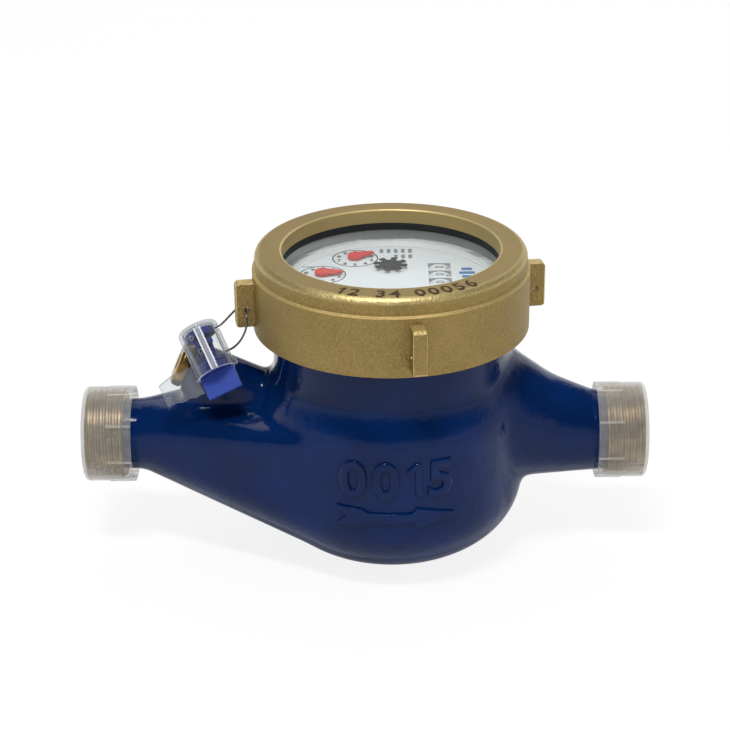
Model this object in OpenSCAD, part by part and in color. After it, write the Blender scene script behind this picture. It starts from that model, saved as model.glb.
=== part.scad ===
// Multi-jet dry-dial water meter with end caps and a wired tamper seal.
// X runs along the flow from inlet to outlet, Z is up, and the origin is the centre
// of the flat base, straight below the register axis. Millimetres.

/* [Casting] */
// Height of the flow axis above the base
pipe_z = 34; // [32:0.5:38]
// Register axis to the inlet end
inlet_len = 90.5; // [86:0.5:100]
// Register axis to the outlet end
outlet_len = 74.5; // [72:0.5:90]
// Crest radius of the pipe thread
thread_r = 13.1; // [12.5:0.01:14]
// Length of the pipe thread
thread_len = 11; // [9:0.5:12]
// Chamfer on the pipe ends
thread_chamfer = 0.8; // [0.4:0.1:1.2]
// Radius of the waterway in the pipe ends
bore_r = 7.5; // [6:0.1:8]
// Outer radius behind the inlet thread
inlet_neck_r = 10.6; // [10:0.1:12]
// Outer radius behind the outlet thread
outlet_neck_r = 11.9; // [11:0.1:12.5]
// Gap between the strainer and the widest part of the bowl's inside
jacket = 5.1; // [4.4:0.1:7.9]
// Height at which the bowl is widest
belly_z = 21.7; // [19:0.1:24]
// Height at which the bowl starts to draw in to the neck
shoulder_z = 46; // [44:0.5:48]
// Height at which the neck becomes straight
neck_z = 58; // [55:0.5:61]
// Wall of the bare neck
neck_wall = 2.9; // [2.4:0.1:3.7]
// Height of the neck thread
neck_thread_h = 1.5; // [1.1:0.1:2.3]
// Length of the neck thread
neck_thread_len = 6; // [5:0.5:8]
// Height of the neck above the base
neck_top = 76; // [75:0.5:78]
// Radius of the flat base
base_r = 13; // [11:0.5:16]
// Wall of the bowl
bowl_wall = 3.8; // [3:0.1:4.5]
// Thickness of the bottom
bottom_wall = 4; // [3:0.1:5]
// Radius of the bore in the neck
neck_bore_r = 31.8; // [31.4:0.1:32.2]
// Height of the shelf that carries the measuring chamber
shelf_z = 34; // [33:0.5:35]
// Thickness of that shelf
shelf_t = 4; // [3:0.5:5]

/* [Regulator] */
// Tilt of the regulator boss above the horizontal
boss_tilt = 24.7; // [20:0.1:28]
// Radius of the regulator boss
boss_r = 8; // [7.5:0.1:9]
// Distance of the boss end from the register axis
boss_x = 60.2; // [58:0.1:63]
// Height of the boss end
boss_z = 56.3; // [55:0.1:58]
// Radius of the regulator screw
screw_r = 4.8; // [4.4:0.1:5.4]
// Length of the regulator screw
screw_len = 10; // [8:0.5:12]
// Radius of the plug head
plug_head_r = 7; // [6.4:0.1:7.4]
// Height of the plug head
plug_head_h = 3; // [2:0.1:4]
// Depth of the plug in the boss
plug_depth = 6; // [5:0.5:8]
// Radius of the bypass passage
bypass_r = 2.4; // [1.8:0.1:2.8]

/* [Retaining ring] */
// Wall of the ring's skirt
ring_wall = 3.7; // [3.3:0.1:5.5]
// Depth of the skirt below the top of the neck
ring_drop = 6.3; // [6:0.1:8]
// Depth of the step in the ring's side
ring_step = 0.8; // [0.4:0.1:1.2]
// Height of the part above the step
ring_cap_h = 5.4; // [4:0.1:6]
// Rounding of the ring's top edge
ring_round = 3; // [1.5:0.1:3.6]
// Thickness of the lip over the window
lip_t = 4.3; // [3:0.1:5]
// Overlap of the lip over the window
lip_over = 1.5; // [1:0.1:2.2]
// Number of sealing ears
ear_count = 4; // [2:1:6]
// Direction of the first ear
ear_turn = 9.5; // [0:0.5:40]
// Reach of an ear beyond the ring
ear_reach = 5.3; // [4.5:0.1:6.5]
// Thickness of an ear
ear_t = 4; // [3:0.1:5]
// Height of an ear
ear_h = 13.4; // [12:0.1:15]
// Height of the ears' foot above the skirt's edge
ear_lift = 2.3; // [1:0.1:3]
// Rounding of the ears' corners
ear_round = 2.6; // [1.5:0.1:3]
// Radius of the wire hole in an ear
ear_hole_r = 1; // [0.8:0.05:1.2]
// Height of the wire hole above the ear's foot
ear_hole_z = 5.3; // [4.5:0.1:7]

/* [Window and register] */
// Thickness of the window gasket
gasket_t = 2.3; // [1.5:0.1:3]
// Thickness of the window
glass_t = 3.2; // [2.6:0.1:3.6]
// Wall of the register cup's rim round the window
rim_wall = 2.9; // [2.3:0.1:3.3]
// Depth from the window to the dial
dial_gap = 1.6; // [1.4:0.1:2]
// Width of the ledge under the dial
dial_ledge = 1.5; // [1.1:0.1:1.9]
// Thickness of the dial
dial_t = 1.2; // [0.8:0.1:1.4]
// Thickness of the pressure plate's flange
plate_flange_t = 3; // [2:0.1:4]
// Depth of the pressure plate's dish below its flange top
dish_depth = 18; // [17.5:0.1:19]
// Wall of the dish
dish_wall = 1.5; // [1.2:0.1:1.8]
// Floor of the dish
dish_floor = 2.5; // [2:0.1:3]
// Wall of the register cup
cup_wall = 1; // [0.8:0.1:1.2]
// Floor of the register cup
cup_floor = 1.6; // [1.4:0.1:2]
// Height of the register cup's rim
cup_rim_h = 7.4; // [7.2:0.1:8]
// Thickness of the bridge plate
bridge_t = 1.2; // [1:0.1:1.6]
// Height of the bridge plate above the cup floor
bridge_h = 13.1; // [12.8:0.1:13.4]
// Radius of the bridge plate's legs
leg_r = 1.2; // [0.8:0.1:1.3]

/* [Gear train] */
// Tooth module of the train
gear_m = 0.4; // [0.38:0.005:0.41]
// Face width of a wheel or pinion
gear_t = 0.8; // [0.6:0.05:0.9]
// Height between the levels of the train
level_pitch = 1.3; // [1.2:0.05:1.35]
// Height of the lowest level above the cup floor
level_low = 3.9; // [3.7:0.1:4]
// Radius of an arbor
arbor_r = 0.7; // [0.6:0.05:0.8]
// Radius of the studs and lower pivots
pivot_r = 0.5; // [0.4:0.05:0.55]
// Length of a lower pivot
pivot_len = 1; // [0.6:0.1:1.2]
// Radial clearance of turning pieces
running = 0.05; // [0.02:0.01:0.08]
// Distance of the star wheel from the register axis
star_y = 12.8; // [12.6:0.1:13]
// Radius of the star wheel
star_r = 5; // [4.6:0.1:5.2]
// Number of notches of the star wheel
star_notches = 8; // [6:1:10]
// Width of a notch of the star wheel
notch_w = 1.9; // [1.6:0.1:2]
// Depth of a notch of the star wheel
notch_depth = 1.9; // [1.6:0.1:2.2]
// Length of a pointer from its arbor
pointer_len = 6; // [5.4:0.1:6.2]
// Radius of a pointer's hub
pointer_hub_r = 2.3; // [2:0.1:2.5]
// Thickness of a pointer's hand
pointer_t = 0.5; // [0.3:0.05:0.6]
// Radius of a number wheel
wheel_r = 5.2; // [5:0.05:5.3]
// Width of a number wheel
wheel_w = 4.4; // [4:0.1:4.8]
// Spacing of the number wheels
wheel_pitch = 5.9; // [5.6:0.1:6]
// Distance of the wheel row from the register axis
wheel_x = 14.4; // [14:0.1:14.8]
// Radius of the number wheels' shaft
wheel_shaft_r = 1; // [0.8:0.05:1.2]

/* [Measuring chamber] */
// Width of the chamber flange beyond the cup
flange_w = 4.7; // [4.5:0.1:5.5]
// Wall of the chamber cup
chamber_wall = 2; // [1.5:0.1:2.4]
// Height of the chamber cup's underside
chamber_z = 10; // [9.6:0.1:11]
// Floor of the chamber cup
chamber_floor = 2.5; // [2:0.1:3]
// Height of the chamber cup above its flange's underside
chamber_top_h = 11; // [10:0.1:12]
// Thickness of the chamber flange
chamber_flange_t = 2.5; // [2:0.1:3]
// Thickness of the gasket under that flange
chamber_gasket_t = 1; // [0.6:0.1:1.5]
// Thickness of the chamber cover
cover_t = 2.5; // [2:0.1:3]
// Number of jets round the chamber
jet_count = 8; // [6:1:10]
// Width of a jet
jet_w = 4; // [3:0.1:5]
// Height of a jet
jet_h = 5.5; // [4:0.1:6]
// Radius of the impeller's vane tips
vane_r = 22.6; // [20:0.1:23.5]
// Number of vanes
vane_count = 7; // [5:1:9]
// Thickness of a vane
vane_t = 1.2; // [0.8:0.1:1.6]
// Height of the vanes
vane_h = 12; // [10:0.5:13]
// Radius of the impeller hub
hub_r = 4.2; // [3.6:0.1:5]
// Radius of the impeller shaft
impeller_shaft_r = 1.5; // [1.2:0.1:1.8]
// Radius of the two coupling magnets
magnet_r = 5; // [4.5:0.1:5.4]
// Height of the drive magnet
drive_magnet_h = 4; // [3:0.1:5]
// Height of the driven magnet
driven_magnet_h = 3; // [2.4:0.1:3]
// Wall of the strainer
strainer_wall = 0.8; // [0.6:0.1:1]
// Number of strainer slots
strainer_slots = 28; // [20:1:32]

/* [Caps] */
// Radial play between the thread and a cap
cap_play = 0.55; // [0.54:0.01:0.8]
// Wall of a cap
cap_wall = 0.45; // [0.4:0.05:0.9]
// Thickness of a cap's end
cap_end_t = 1; // [0.8:0.1:1.4]
// Reach of a cap behind the thread
cap_skirt = 2.7; // [2.2:0.1:4]
// Length of the thicker band at a cap's mouth
cap_band_len = 7.4; // [5:0.1:9]
// Extra thickness of that band
cap_band_t = 0.15; // [0.1:0.05:0.4]
// Number of grip ribs on the band
cap_ribs = 8; // [4:1:12]
// Height of a grip rib
cap_rib_h = 0.15; // [0.1:0.05:0.4]

/* [Seal] */
// Outer radius of the seal housing
seal_r = 6; // [5.5:0.1:6.5]
// Length of the seal housing
seal_len = 15; // [14:0.1:16]
// Wall of the seal housing
seal_wall = 0.8; // [0.6:0.05:1]
// Width of the rotor's tab
tab_w = 10.4; // [9:0.1:11]
// Length of the rotor's tab
tab_len = 6.4; // [5:0.1:8]
// Thickness of the rotor's tab
tab_t = 2; // [1.4:0.1:2.6]
// Reach of the flag from the housing's axis
flag_reach = 17; // [15:0.1:18]
// Thickness of the flag
flag_t = 0.8; // [0.6:0.1:1.2]
// Radius of the seal wire
wire_r = 0.3; // [0.25:0.01:0.35]

/* [Hidden] */
$fn = 48;

// Clearance between pieces that are put together
clear = 0.3;
// Overshoot of cuts
cut = 1;
// Depth at which a blended form dips under the turned form it joins
sink = 0.25;
// Small step where a blended form meets a turned one
blend_step = 0.15;

// Stack of the window and the register, from the neck upwards
plate_top = neck_top + plate_flange_t;
rim_top = plate_top + cup_rim_h;
lip_z = rim_top + gasket_t;
ring_top = lip_z + lip_t;
ring_foot = neck_top - ring_drop;
neck_r = neck_bore_r + neck_wall;
neck_thread_r = neck_r + neck_thread_h;
ring_in_r = neck_thread_r + clear;
ring_r = ring_in_r + ring_wall;
stack_r = ring_in_r - clear;
glass_z = rim_top - glass_t;
dial_top = glass_z - dial_gap;
dial_z = dial_top - dial_t;
dish_in_z = plate_top - dish_depth;
dish_z = dish_in_z - dish_floor;
dish_r = neck_bore_r - clear;
cup_r = dish_r - dish_wall - clear;
cup_in_r = cup_r - cup_wall;
cup_z = dish_in_z + clear;
floor_z = cup_z + cup_floor;
bridge_z = floor_z + bridge_h;
bridge_r = cup_in_r - clear;
glass_seat_r = stack_r - rim_wall;
glass_r = glass_seat_r - clear;
lip_r = glass_r - lip_over;
dial_r = cup_in_r + dial_ledge;
dial_seat_r = dial_r + clear;

// Measuring chamber heights
gasket_z = shelf_z;
flange_z = gasket_z + chamber_gasket_t;
chamber_top = flange_z + chamber_top_h;
cover_top = chamber_top + cover_t;
chamber_in_z = chamber_z + chamber_floor;
drive_magnet_top = dish_z - 2 * clear;
vane_lift = 7;
vane_z = chamber_in_z + vane_lift;

// Radii from the neck bore in to the chamber, and out again to the bowl
strainer_gap = 2.4;
seat_r = neck_bore_r - clear;
chamber_r = seat_r - flange_w;
shelf_r = chamber_r + clear;
strainer_r = shelf_r + strainer_gap + strainer_wall;
belly_r = strainer_r + jacket + bowl_wall;

// Profile of the bowl and the neck
bowl_steps = 10;
neck_steps = 8;
function bowl_arc(r0, z0, r1, z1) = [
    for (i = [0:bowl_steps])
        let (a = 90 - 90 * i / bowl_steps)
        [r0 + (r1 - r0) * cos(a), z1 - (z1 - z0) * sin(a)]
];
function shoulder_curve() = [
    for (i = [0:neck_steps])
        let (t = i / neck_steps)
        [belly_r + (neck_r - belly_r) * (1 - cos(180 * t)) / 2, shoulder_z + (neck_z - shoulder_z) * t]
];

// Points of an arc, for rounded corners of flat outlines
function arc(centre, r, from, to, steps = 6) = [
    for (i = [0:steps])
        let (a = from + (to - from) * i / steps)
        centre + r * [cos(a), sin(a)]
];

// Turned solid of an outline in radius and height
module turned(outline) {
    rotate_extrude()
        polygon(outline);
}

// Turned ring between two radii and two heights
module ring_band(r_in, r_out, z_low, z_high) {
    turned([[r_in, z_low], [r_out, z_low], [r_out, z_high], [r_in, z_high]]);
}

// Round bar from one height to another
module post(r, z_low, z_high) {
    translate([0, 0, z_low])
        cylinder(r = r, h = z_high - z_low);
}

// Frame with its Z along the flow at a given distance from the register axis
module along_flow(x) {
    translate([x, 0, pipe_z])
        rotate([0, 90, 0])
            children();
}

// Casting: outer form
inlet_shoulder_x = thread_len - inlet_len;
outlet_shoulder_x = outlet_len - thread_len;
outlet_flare_r = 5.22;
outlet_flare_r2 = 6.26;
outlet_flare_rise = 3.26;
outlet_flare_rise2 = 6.99;
outlet_neck_len = 3.5;
outlet_root = 0.7;
flare_disc_t = 0.5;
flare_cuts = [0, 0.38, 0.69, 1];
outlet_start = outlet_shoulder_x - outlet_neck_len;
outlet_depth = outlet_start - belly_r * outlet_root;
module flare_disc(share) {
    r = outlet_neck_r + blend_step + outlet_flare_r * share + outlet_flare_r2 * share * share;
    rise = outlet_flare_rise * share + outlet_flare_rise2 * share * share;
    translate([0, 0, rise])
        along_flow(outlet_start - outlet_depth * share)
            cylinder(r = r, h = flare_disc_t, $fn = 34);
}

// Skin over a list of rings with the same number of points
module skin(rings) {
    sides = len(rings[0]);
    last = len(rings) - 1;
    points = [for (ring = rings) each ring];
    walls = [
        for (i = [0:last - 1], k = [0:sides - 1])
            let (n = (k + 1) % sides)
            each [
                [i * sides + k, (i + 1) * sides + k, i * sides + n],
                [i * sides + n, (i + 1) * sides + k, (i + 1) * sides + n]
            ]
    ];
    first_end = [for (k = [0:sides - 1]) k];
    last_end = [for (k = [sides - 1:-1:0]) last * sides + k];
    polyhedron(points = points, faces = concat(walls, [first_end, last_end]), convexity = 4);
}

// Regulator boss frame: origin at the boss end, Z outwards along its axis
module boss_frame() {
    translate([-boss_x, 0, boss_z])
        rotate([0, boss_tilt - 90, 0])
            children();
}

boss_len = boss_x / cos(boss_tilt) - neck_bore_r / cos(boss_tilt);
inlet_neck_len = 5.5;
neck_root = 4;
inlet_horn_x = inlet_shoulder_x + inlet_neck_len;
web_r = 7;
web_setback = 11.5;
web_x = inlet_horn_x + web_setback;
module bowl_lower() {
    wide = belly_r - sink;
    rotate_extrude($fn = 40)
        polygon(concat(
            [[0, sink]], bowl_arc(base_r, sink, wide, belly_z),
            [[wide, shoulder_z], [0, shoulder_z]]
        ));
}
module casting_form() {
    turned(concat(
        [[0, 0]], bowl_arc(base_r, 0, belly_r, belly_z), shoulder_curve(),
        [
            [neck_r, neck_top - neck_thread_len], [neck_thread_r, neck_top - neck_thread_len],
            [neck_thread_r, neck_top], [0, neck_top]
        ]
    ));
    hull() {
        along_flow(inlet_horn_x)
            cylinder(r = inlet_neck_r + blend_step, h = 1, $fn = 40);
        bowl_lower();
    }
    for (i = [0:len(flare_cuts) - 2])
        hull() {
            flare_disc(flare_cuts[i]);
            flare_disc(flare_cuts[i + 1]);
        }
    hull() {
        boss_frame()
            translate([0, 0, -boss_len])
                cylinder(r = boss_r - sink, h = boss_len - plug_depth, $fn = 32);
        translate([web_x, 0, pipe_z])
            sphere(r = web_r, $fn = 24);
    }
    boss_frame()
        translate([0, 0, -boss_len])
            cylinder(r = boss_r, h = boss_len);
    along_flow(inlet_shoulder_x)
        cylinder(r = inlet_neck_r, h = inlet_horn_x - inlet_shoulder_x + neck_root);
    along_flow(outlet_start - neck_root)
        cylinder(r = outlet_neck_r, h = outlet_shoulder_x - outlet_start + neck_root);
    along_flow(-inlet_len)
        pipe_thread();
    along_flow(outlet_len)
        mirror([0, 0, 1])
            pipe_thread();
}
module pipe_thread() {
    cylinder(r1 = thread_r - thread_chamfer, r2 = thread_r, h = thread_chamfer);
    translate([0, 0, thread_chamfer])
        cylinder(r = thread_r, h = thread_len - thread_chamfer);
}

// Casting: waterways and seats
inlet_throat_x = 60;
inlet_mouth_x = 30;
inlet_mouth_r = 9;
inlet_mouth_z = shelf_z - shelf_t - inlet_mouth_r - 0.5;
outlet_throat_x = 50;
outlet_mouth_x = 27;
outlet_mouth_r = 8.5;
outlet_mouth_z = shelf_z + outlet_mouth_r + 2;
o_ring_r = 0.85;
o_ring_seat_r = (neck_bore_r + neck_thread_r) / 2;
screw_bore_r = screw_r + 0.2;
screw_seat = plug_depth + screw_len + 3;
bypass_setback = 14;
bypass_x = web_x + bypass_setback;
module waterways() {
    along_flow(-inlet_len - cut)
        cylinder(r = bore_r, h = inlet_len - inlet_throat_x + 4 * cut);
    along_flow(outlet_throat_x - 4 * cut)
        cylinder(r = bore_r, h = outlet_len - outlet_throat_x + 5 * cut);
    hull() {
        along_flow(-inlet_throat_x)
            cylinder(r = bore_r + blend_step, h = 1, $fn = 32);
        translate([-inlet_mouth_x, 0, inlet_mouth_z])
            sphere(r = inlet_mouth_r, $fn = 32);
    }
    hull() {
        along_flow(outlet_throat_x)
            cylinder(r = bore_r + blend_step, h = 1, $fn = 32);
        translate([outlet_mouth_x, 0, outlet_mouth_z])
            sphere(r = outlet_mouth_r, $fn = 32);
    }
    turned(concat(
        [[0, bottom_wall]], bowl_arc(base_r, bottom_wall, belly_r - bowl_wall, belly_z),
        [[belly_r - bowl_wall, shelf_z - shelf_t], [0, shelf_z - shelf_t]]
    ));
    post(shelf_r, shelf_z - shelf_t - cut, shelf_z + cut);
    post(neck_bore_r, shelf_z, neck_top + cut);
    ring_band(o_ring_seat_r - o_ring_r, o_ring_seat_r + o_ring_r, neck_top - 2 * o_ring_r, neck_top + cut);
    boss_frame() {
        translate([0, 0, -screw_seat])
            cylinder(r = screw_bore_r, h = screw_seat + cut);
        translate([0, 0, -boss_len - 2 * cut])
            cylinder(r = bypass_r, h = boss_len);
    }
    translate([bypass_x, 0, pipe_z])
        cylinder(r = bypass_r, h = boss_z - pipe_z - (boss_x + bypass_x) * tan(boss_tilt));
}
module meter_body() {
    color("midnightblue")
        difference() {
            casting_form();
            waterways();
        }
}

// Sealing parts of the neck
module body_o_ring() {
    color("dimgray")
        translate([0, 0, neck_top - o_ring_r])
            rotate_extrude()
                translate([o_ring_seat_r, 0])
                    circle(r = o_ring_r);
}

// Retaining ring with its sealing ears
ring_cap_r = ring_r - ring_step;
ring_step_z = ring_top - ring_cap_h;
ear_z = ring_foot + ear_lift;
ear_root = 2;
ear_hole_x = ring_r + ear_reach * 0.45;
module ear() {
    reach = ring_r + ear_reach;
    foot = ring_r - ear_root;
    difference() {
        rotate([90, 0, 0])
            linear_extrude(height = ear_t, center = true)
                polygon(concat(
                    [[foot, 0]],
                    arc([reach - ear_round, ear_round], ear_round, -90, 0),
                    arc([reach - ear_round, ear_h - ear_round], ear_round, 0, 90),
                    [[foot, ear_h]]
                ));
        translate([ear_hole_x, 0, ear_hole_z])
            rotate([90, 0, 0])
                cylinder(r = ear_hole_r, h = ear_t + 2 * cut, center = true);
    }
}
module retaining_ring() {
    color("darkgoldenrod") {
        turned(concat(
            [[ring_in_r, ring_foot], [ring_r, ring_foot]],
            [[ring_r, ring_step_z - ring_step], [ring_cap_r, ring_step_z]],
            arc([ring_cap_r - ring_round, ring_top - ring_round], ring_round, 0, 90),
            [[lip_r, ring_top], [lip_r, lip_z], [ring_in_r, lip_z]]
        ));
        for (i = [0:ear_count - 1])
            rotate([0, 0, ear_turn + 360 * i / ear_count])
                translate([0, 0, ear_z])
                    ear();
    }
}
module glass_gasket() {
    color("black")
        ring_band(lip_r, stack_r, rim_top, lip_z);
}
module glass_window() {
    color("lightcyan", 0.4)
        post(glass_r, glass_z, rim_top);
}

// Pressure plate between the water and the register
module pressure_plate() {
    color("gray")
        turned([
            [0, dish_z], [dish_r, dish_z], [dish_r, neck_top], [stack_r, neck_top], [stack_r, plate_top],
            [dish_r - dish_wall, plate_top], [dish_r - dish_wall, dish_in_z], [0, dish_in_z]
        ]);
}

// Positions of the arbors, seen from above
star_pos = [0, star_y];
pointer_pos = [[-10.5, 20.3], [-20, 7.3], [-20, -7.3], [-11, -19]];
drive_pinion_teeth = 8;
star_gear_teeth = 72;
star_pinion_teeth = 8;
idler_teeth = 20;
first_gear_teeth = 24;
pointer_pinion_teeth = 8;
step_gear_teeth = 32;
step_pinion_teeth = 12;
pointer_gear_teeth = 30;
carrier_teeth = 48;
wheel_drive_teeth = 32;
peg_pinion_teeth = 8;
peg_count = 20;

// Centre distance of two gears, and the arbor that meshes with two others
star_m = 2 * star_y / (drive_pinion_teeth + star_gear_teeth);
function centre_distance(n1, n2) = gear_m * (n1 + n2) / 2;
function meet(p, q, dp, dq, side) =
    let (d = norm(q - p))
    let (a = (d * d + dp * dp - dq * dq) / (2 * d))
    let (h = sqrt(max(dp * dp - a * a, 0)))
    let (u = (q - p) / d)
    p + a * u + side * h * [-u[1], u[0]];
function heading(p, q) = atan2(q[1] - p[1], q[0] - p[0]);

// Turn of a wheel so that its gap meets a tooth of its driver
function mesh_turn(turn, n1, n2, p, q) =
    let (line = heading(p, q))
    line + 180 - (turn - line) * n1 / n2 - 180 / n2;

idler_pos = meet(star_pos, pointer_pos[0], centre_distance(star_pinion_teeth, idler_teeth),
    centre_distance(idler_teeth, first_gear_teeth), 1);
step_pos = [
    for (i = [0:2])
        meet(pointer_pos[i], pointer_pos[i + 1], centre_distance(pointer_pinion_teeth, step_gear_teeth),
            centre_distance(step_pinion_teeth, pointer_gear_teeth), 1)
];

// Levels of the train above the cup floor
function level(i) = floor_z + level_low + (i - 1) * level_pitch;
level_of_gear = [level(2), level(4), level(6), level(4)];
level_of_pinion = [level(3), level(5), level(3), level(2)];
level_of_step = [level(3), level(5), level(3)];

// Number wheel row, read from far to near
wheel_count = 5;
wheel_first_y = 13.4;
wheel_sink = 0.2;
wheel_z = dial_top - wheel_sink - wheel_r;
function wheel_y(i) = wheel_first_y - i * wheel_pitch;
wheel_row_end = wheel_y(wheel_count - 1) - wheel_w / 2;
peg_ring_r = 3.6;
peg_r = 0.18;
peg_len = 0.9;
peg_pinion_r = peg_ring_r * peg_pinion_teeth / peg_count;
peg_pinion_tip = 0.3;
wheel_drive_pos = [wheel_x, wheel_row_end - peg_len - peg_pinion_r];
carrier_pos = meet(pointer_pos[3], wheel_drive_pos, centre_distance(pointer_pinion_teeth, carrier_teeth),
    centre_distance(carrier_teeth, wheel_drive_teeth), 1);

// Tooth proportions, in modules, with the flanks eased for free running
addendum = 0.8;
dedendum = 1.2;
tip_share = 0.2;
root_share = 0.52;
function tooth(n, m, turn, i) =
    let (r = n * m / 2)
    let (step = 360 / n)
    let (a = turn + i * step)
    [
        for (s = [-root_share / 2, -tip_share / 2, tip_share / 2, root_share / 2])
            let (rad = abs(s) > tip_share / 2 + 0.01 ? r - dedendum * m : r + addendum * m)
            rad * [cos(a + s * step), sin(a + s * step)]
    ];
module gear(n, turn, z, h, m = gear_m) {
    translate([0, 0, z])
        linear_extrude(height = h)
            polygon([for (i = [0:n - 1]) each tooth(n, m, turn, i)]);
}

// Arbor with a pivot in the cup floor
module arbor(top, r = arbor_r) {
    post(pivot_r, floor_z - pivot_len + clear / 3, floor_z + clear);
    post(r, floor_z + clear / 3, top);
}

// Register cup: floor with pivot holes, wall, rim with seats for the dial and the window
shield_gap = 1;
shield_wall = 1;
stud_top = level(1) - 2 * clear;
module register_cup() {
    color("whitesmoke") {
        difference() {
            turned([
                [0, cup_z], [cup_r, cup_z], [cup_r, plate_top], [stack_r, plate_top], [stack_r, rim_top],
                [glass_seat_r, rim_top], [glass_seat_r, glass_z], [dial_seat_r, glass_z],
                [dial_seat_r, dial_z], [cup_in_r, dial_z], [cup_in_r, floor_z], [0, floor_z]
            ]);
            for (p = concat([[0, 0], star_pos], pointer_pos))
                translate([p[0], p[1], floor_z - pivot_len])
                    cylinder(r = pivot_r + running, h = pivot_len + cut);
        }
        translate([wheel_drive_pos[0], wheel_drive_pos[1], 0])
            post(pivot_r, floor_z - cup_floor / 2, wheel_z - peg_ring_r - clear);
    }
}
module magnetic_shield() {
    color("silver")
        ring_band(magnet_r + shield_gap, magnet_r + shield_gap + shield_wall, floor_z, stud_top);
}

// Bridge plate over the train, with its legs, studs and wheel shaft bearings
leg_turns = [11, 79, 180, 270];
leg_ring = bridge_r - leg_r - 0.4;
window_side = 0.9;
window_play = 0.25;
bearing_w = 2;
bearing_h = 2 * (wheel_shaft_r + 0.8);
shaft_near = wheel_drive_pos[1] - peg_pinion_r - 1.5;
shaft_far = wheel_y(0) + wheel_w / 2 + clear;
module stud(p, top_of_stud, foot) {
    translate([p[0], p[1], 0])
        post(pivot_r, foot, top_of_stud);
}
module shaft_bearing(y_low) {
    translate([wheel_x - bearing_h / 2, y_low, wheel_z - bearing_h / 2])
        cube([bearing_h, bearing_w, bearing_h]);
}
module bridge_plate() {
    color("lightgray") {
        difference() {
            union() {
                difference() {
                    post(bridge_r, bridge_z, bridge_z + bridge_t);
                    translate([wheel_x - wheel_r - window_side, shaft_near, bridge_z - cut])
                        cube([2 * (wheel_r + window_side), shaft_far - shaft_near, bridge_t + 2 * cut]);
                }
                shaft_bearing(shaft_far);
                shaft_bearing(shaft_near - bearing_w);
            }
            for (p = concat([[0, 0], star_pos], pointer_pos))
                translate([p[0], p[1], bridge_z - cut])
                    cylinder(r = arbor_r + running, h = bridge_t + 2 * cut);
            translate([wheel_x, shaft_far + bearing_w + cut, wheel_z])
                rotate([90, 0, 0])
                    cylinder(r = wheel_shaft_r, h = shaft_far - shaft_near + 2 * (bearing_w + cut));
        }
        for (a = leg_turns)
            rotate([0, 0, a])
                translate([leg_ring, 0, 0])
                    post(leg_r, floor_z, bridge_z + bridge_t / 2);
        stud(idler_pos, bridge_z + bridge_t / 2, level(2));
        stud(carrier_pos, bridge_z + bridge_t / 2, level(2));
        for (i = [0:2])
            stud(step_pos[i], bridge_z + bridge_t / 2, level_of_step[i]);
    }
}
module wheel_shaft() {
    color("silver")
        translate([wheel_x, shaft_far + bearing_w, wheel_z])
            rotate([90, 0, 0])
                cylinder(r = wheel_shaft_r, h = shaft_far - shaft_near + 2 * bearing_w);
}

// Dial with its windows and arbor holes
dial_hole_r = arbor_r + 0.4;
window_half = sqrt(pow(wheel_r, 2) - pow(wheel_r + wheel_sink - dial_t, 2)) + window_play;
module dial_plate() {
    color("white")
        difference() {
            post(dial_r, dial_z, dial_top);
            for (p = concat([star_pos], pointer_pos))
                translate([p[0], p[1], dial_z - cut])
                    cylinder(r = dial_hole_r, h = dial_t + 2 * cut);
            for (i = [0:wheel_count - 1])
                translate([wheel_x - window_half, wheel_y(i) - wheel_w / 2 - window_play, dial_z - cut])
                    cube([2 * window_half, wheel_w + 2 * window_play, dial_t + 2 * cut]);
        }
}

// Driven magnet on the central arbor
press = 0.02;
drive_turn = 0;
module magnet_arbor() {
    color("gold") {
        arbor(bridge_z + bridge_t);
        gear(drive_pinion_teeth, drive_turn, level(1), gear_t, star_m);
    }
}
module driven_magnet() {
    color("darkslategray")
        ring_band(arbor_r + press, magnet_r, floor_z + clear, floor_z + clear + driven_magnet_h);
}

// Tips above the dial: a hub pressed on its arbor, with a flat shape round its top
tip_z = dial_top + clear;
tip_h = dial_gap - 2 * clear;
tip_cap = 0.3;
tip_top = tip_z + tip_h - tip_cap - press;
module tip(hub_r) {
    difference() {
        union() {
            cylinder(r = hub_r, h = tip_h);
            translate([0, 0, tip_h - pointer_t])
                linear_extrude(height = pointer_t)
                    children();
        }
        translate([0, 0, -cut])
            cylinder(r = pivot_r + press, h = tip_h - tip_cap + cut);
    }
}

// Star wheel arbor and star
star_gear_turn = mesh_turn(drive_turn, drive_pinion_teeth, star_gear_teeth, [0, 0], star_pos);
star_pinion_turn = 0;
module star_arbor() {
    color("gold")
        translate([star_pos[0], star_pos[1], 0]) {
            arbor(bridge_z + bridge_t);
            post(pivot_r, bridge_z, tip_top);
            gear(star_gear_teeth, star_gear_turn, level(1), gear_t, star_m);
            gear(star_pinion_teeth, star_pinion_turn, level(2) - clear, gear_t + clear);
        }
}
star_turn = 9;
star_hub_r = 1.4;
module star_wheel() {
    notch_r = notch_w / 2;
    color("dimgray")
        translate([star_pos[0], star_pos[1], tip_z])
            rotate([0, 0, star_turn])
                tip(star_hub_r)
                    difference() {
                        circle(r = star_r);
                        for (i = [0:star_notches - 1])
                            rotate([0, 0, 360 * i / star_notches])
                                translate([star_r - notch_depth + notch_r, 0]) {
                                    circle(r = notch_r);
                                    translate([0, -notch_r])
                                        square([notch_depth, notch_w]);
                                }
                    }
}

// Sleeve that turns on a stud under the bridge plate
sleeve_wall = 0.4;
module sleeve(low, high) {
    ring_band(pivot_r + running, pivot_r + running + sleeve_wall, low, high);
}
module on_stud() {
    difference() {
        children();
        post(pivot_r + running, floor_z, dial_top);
    }
}

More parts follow.
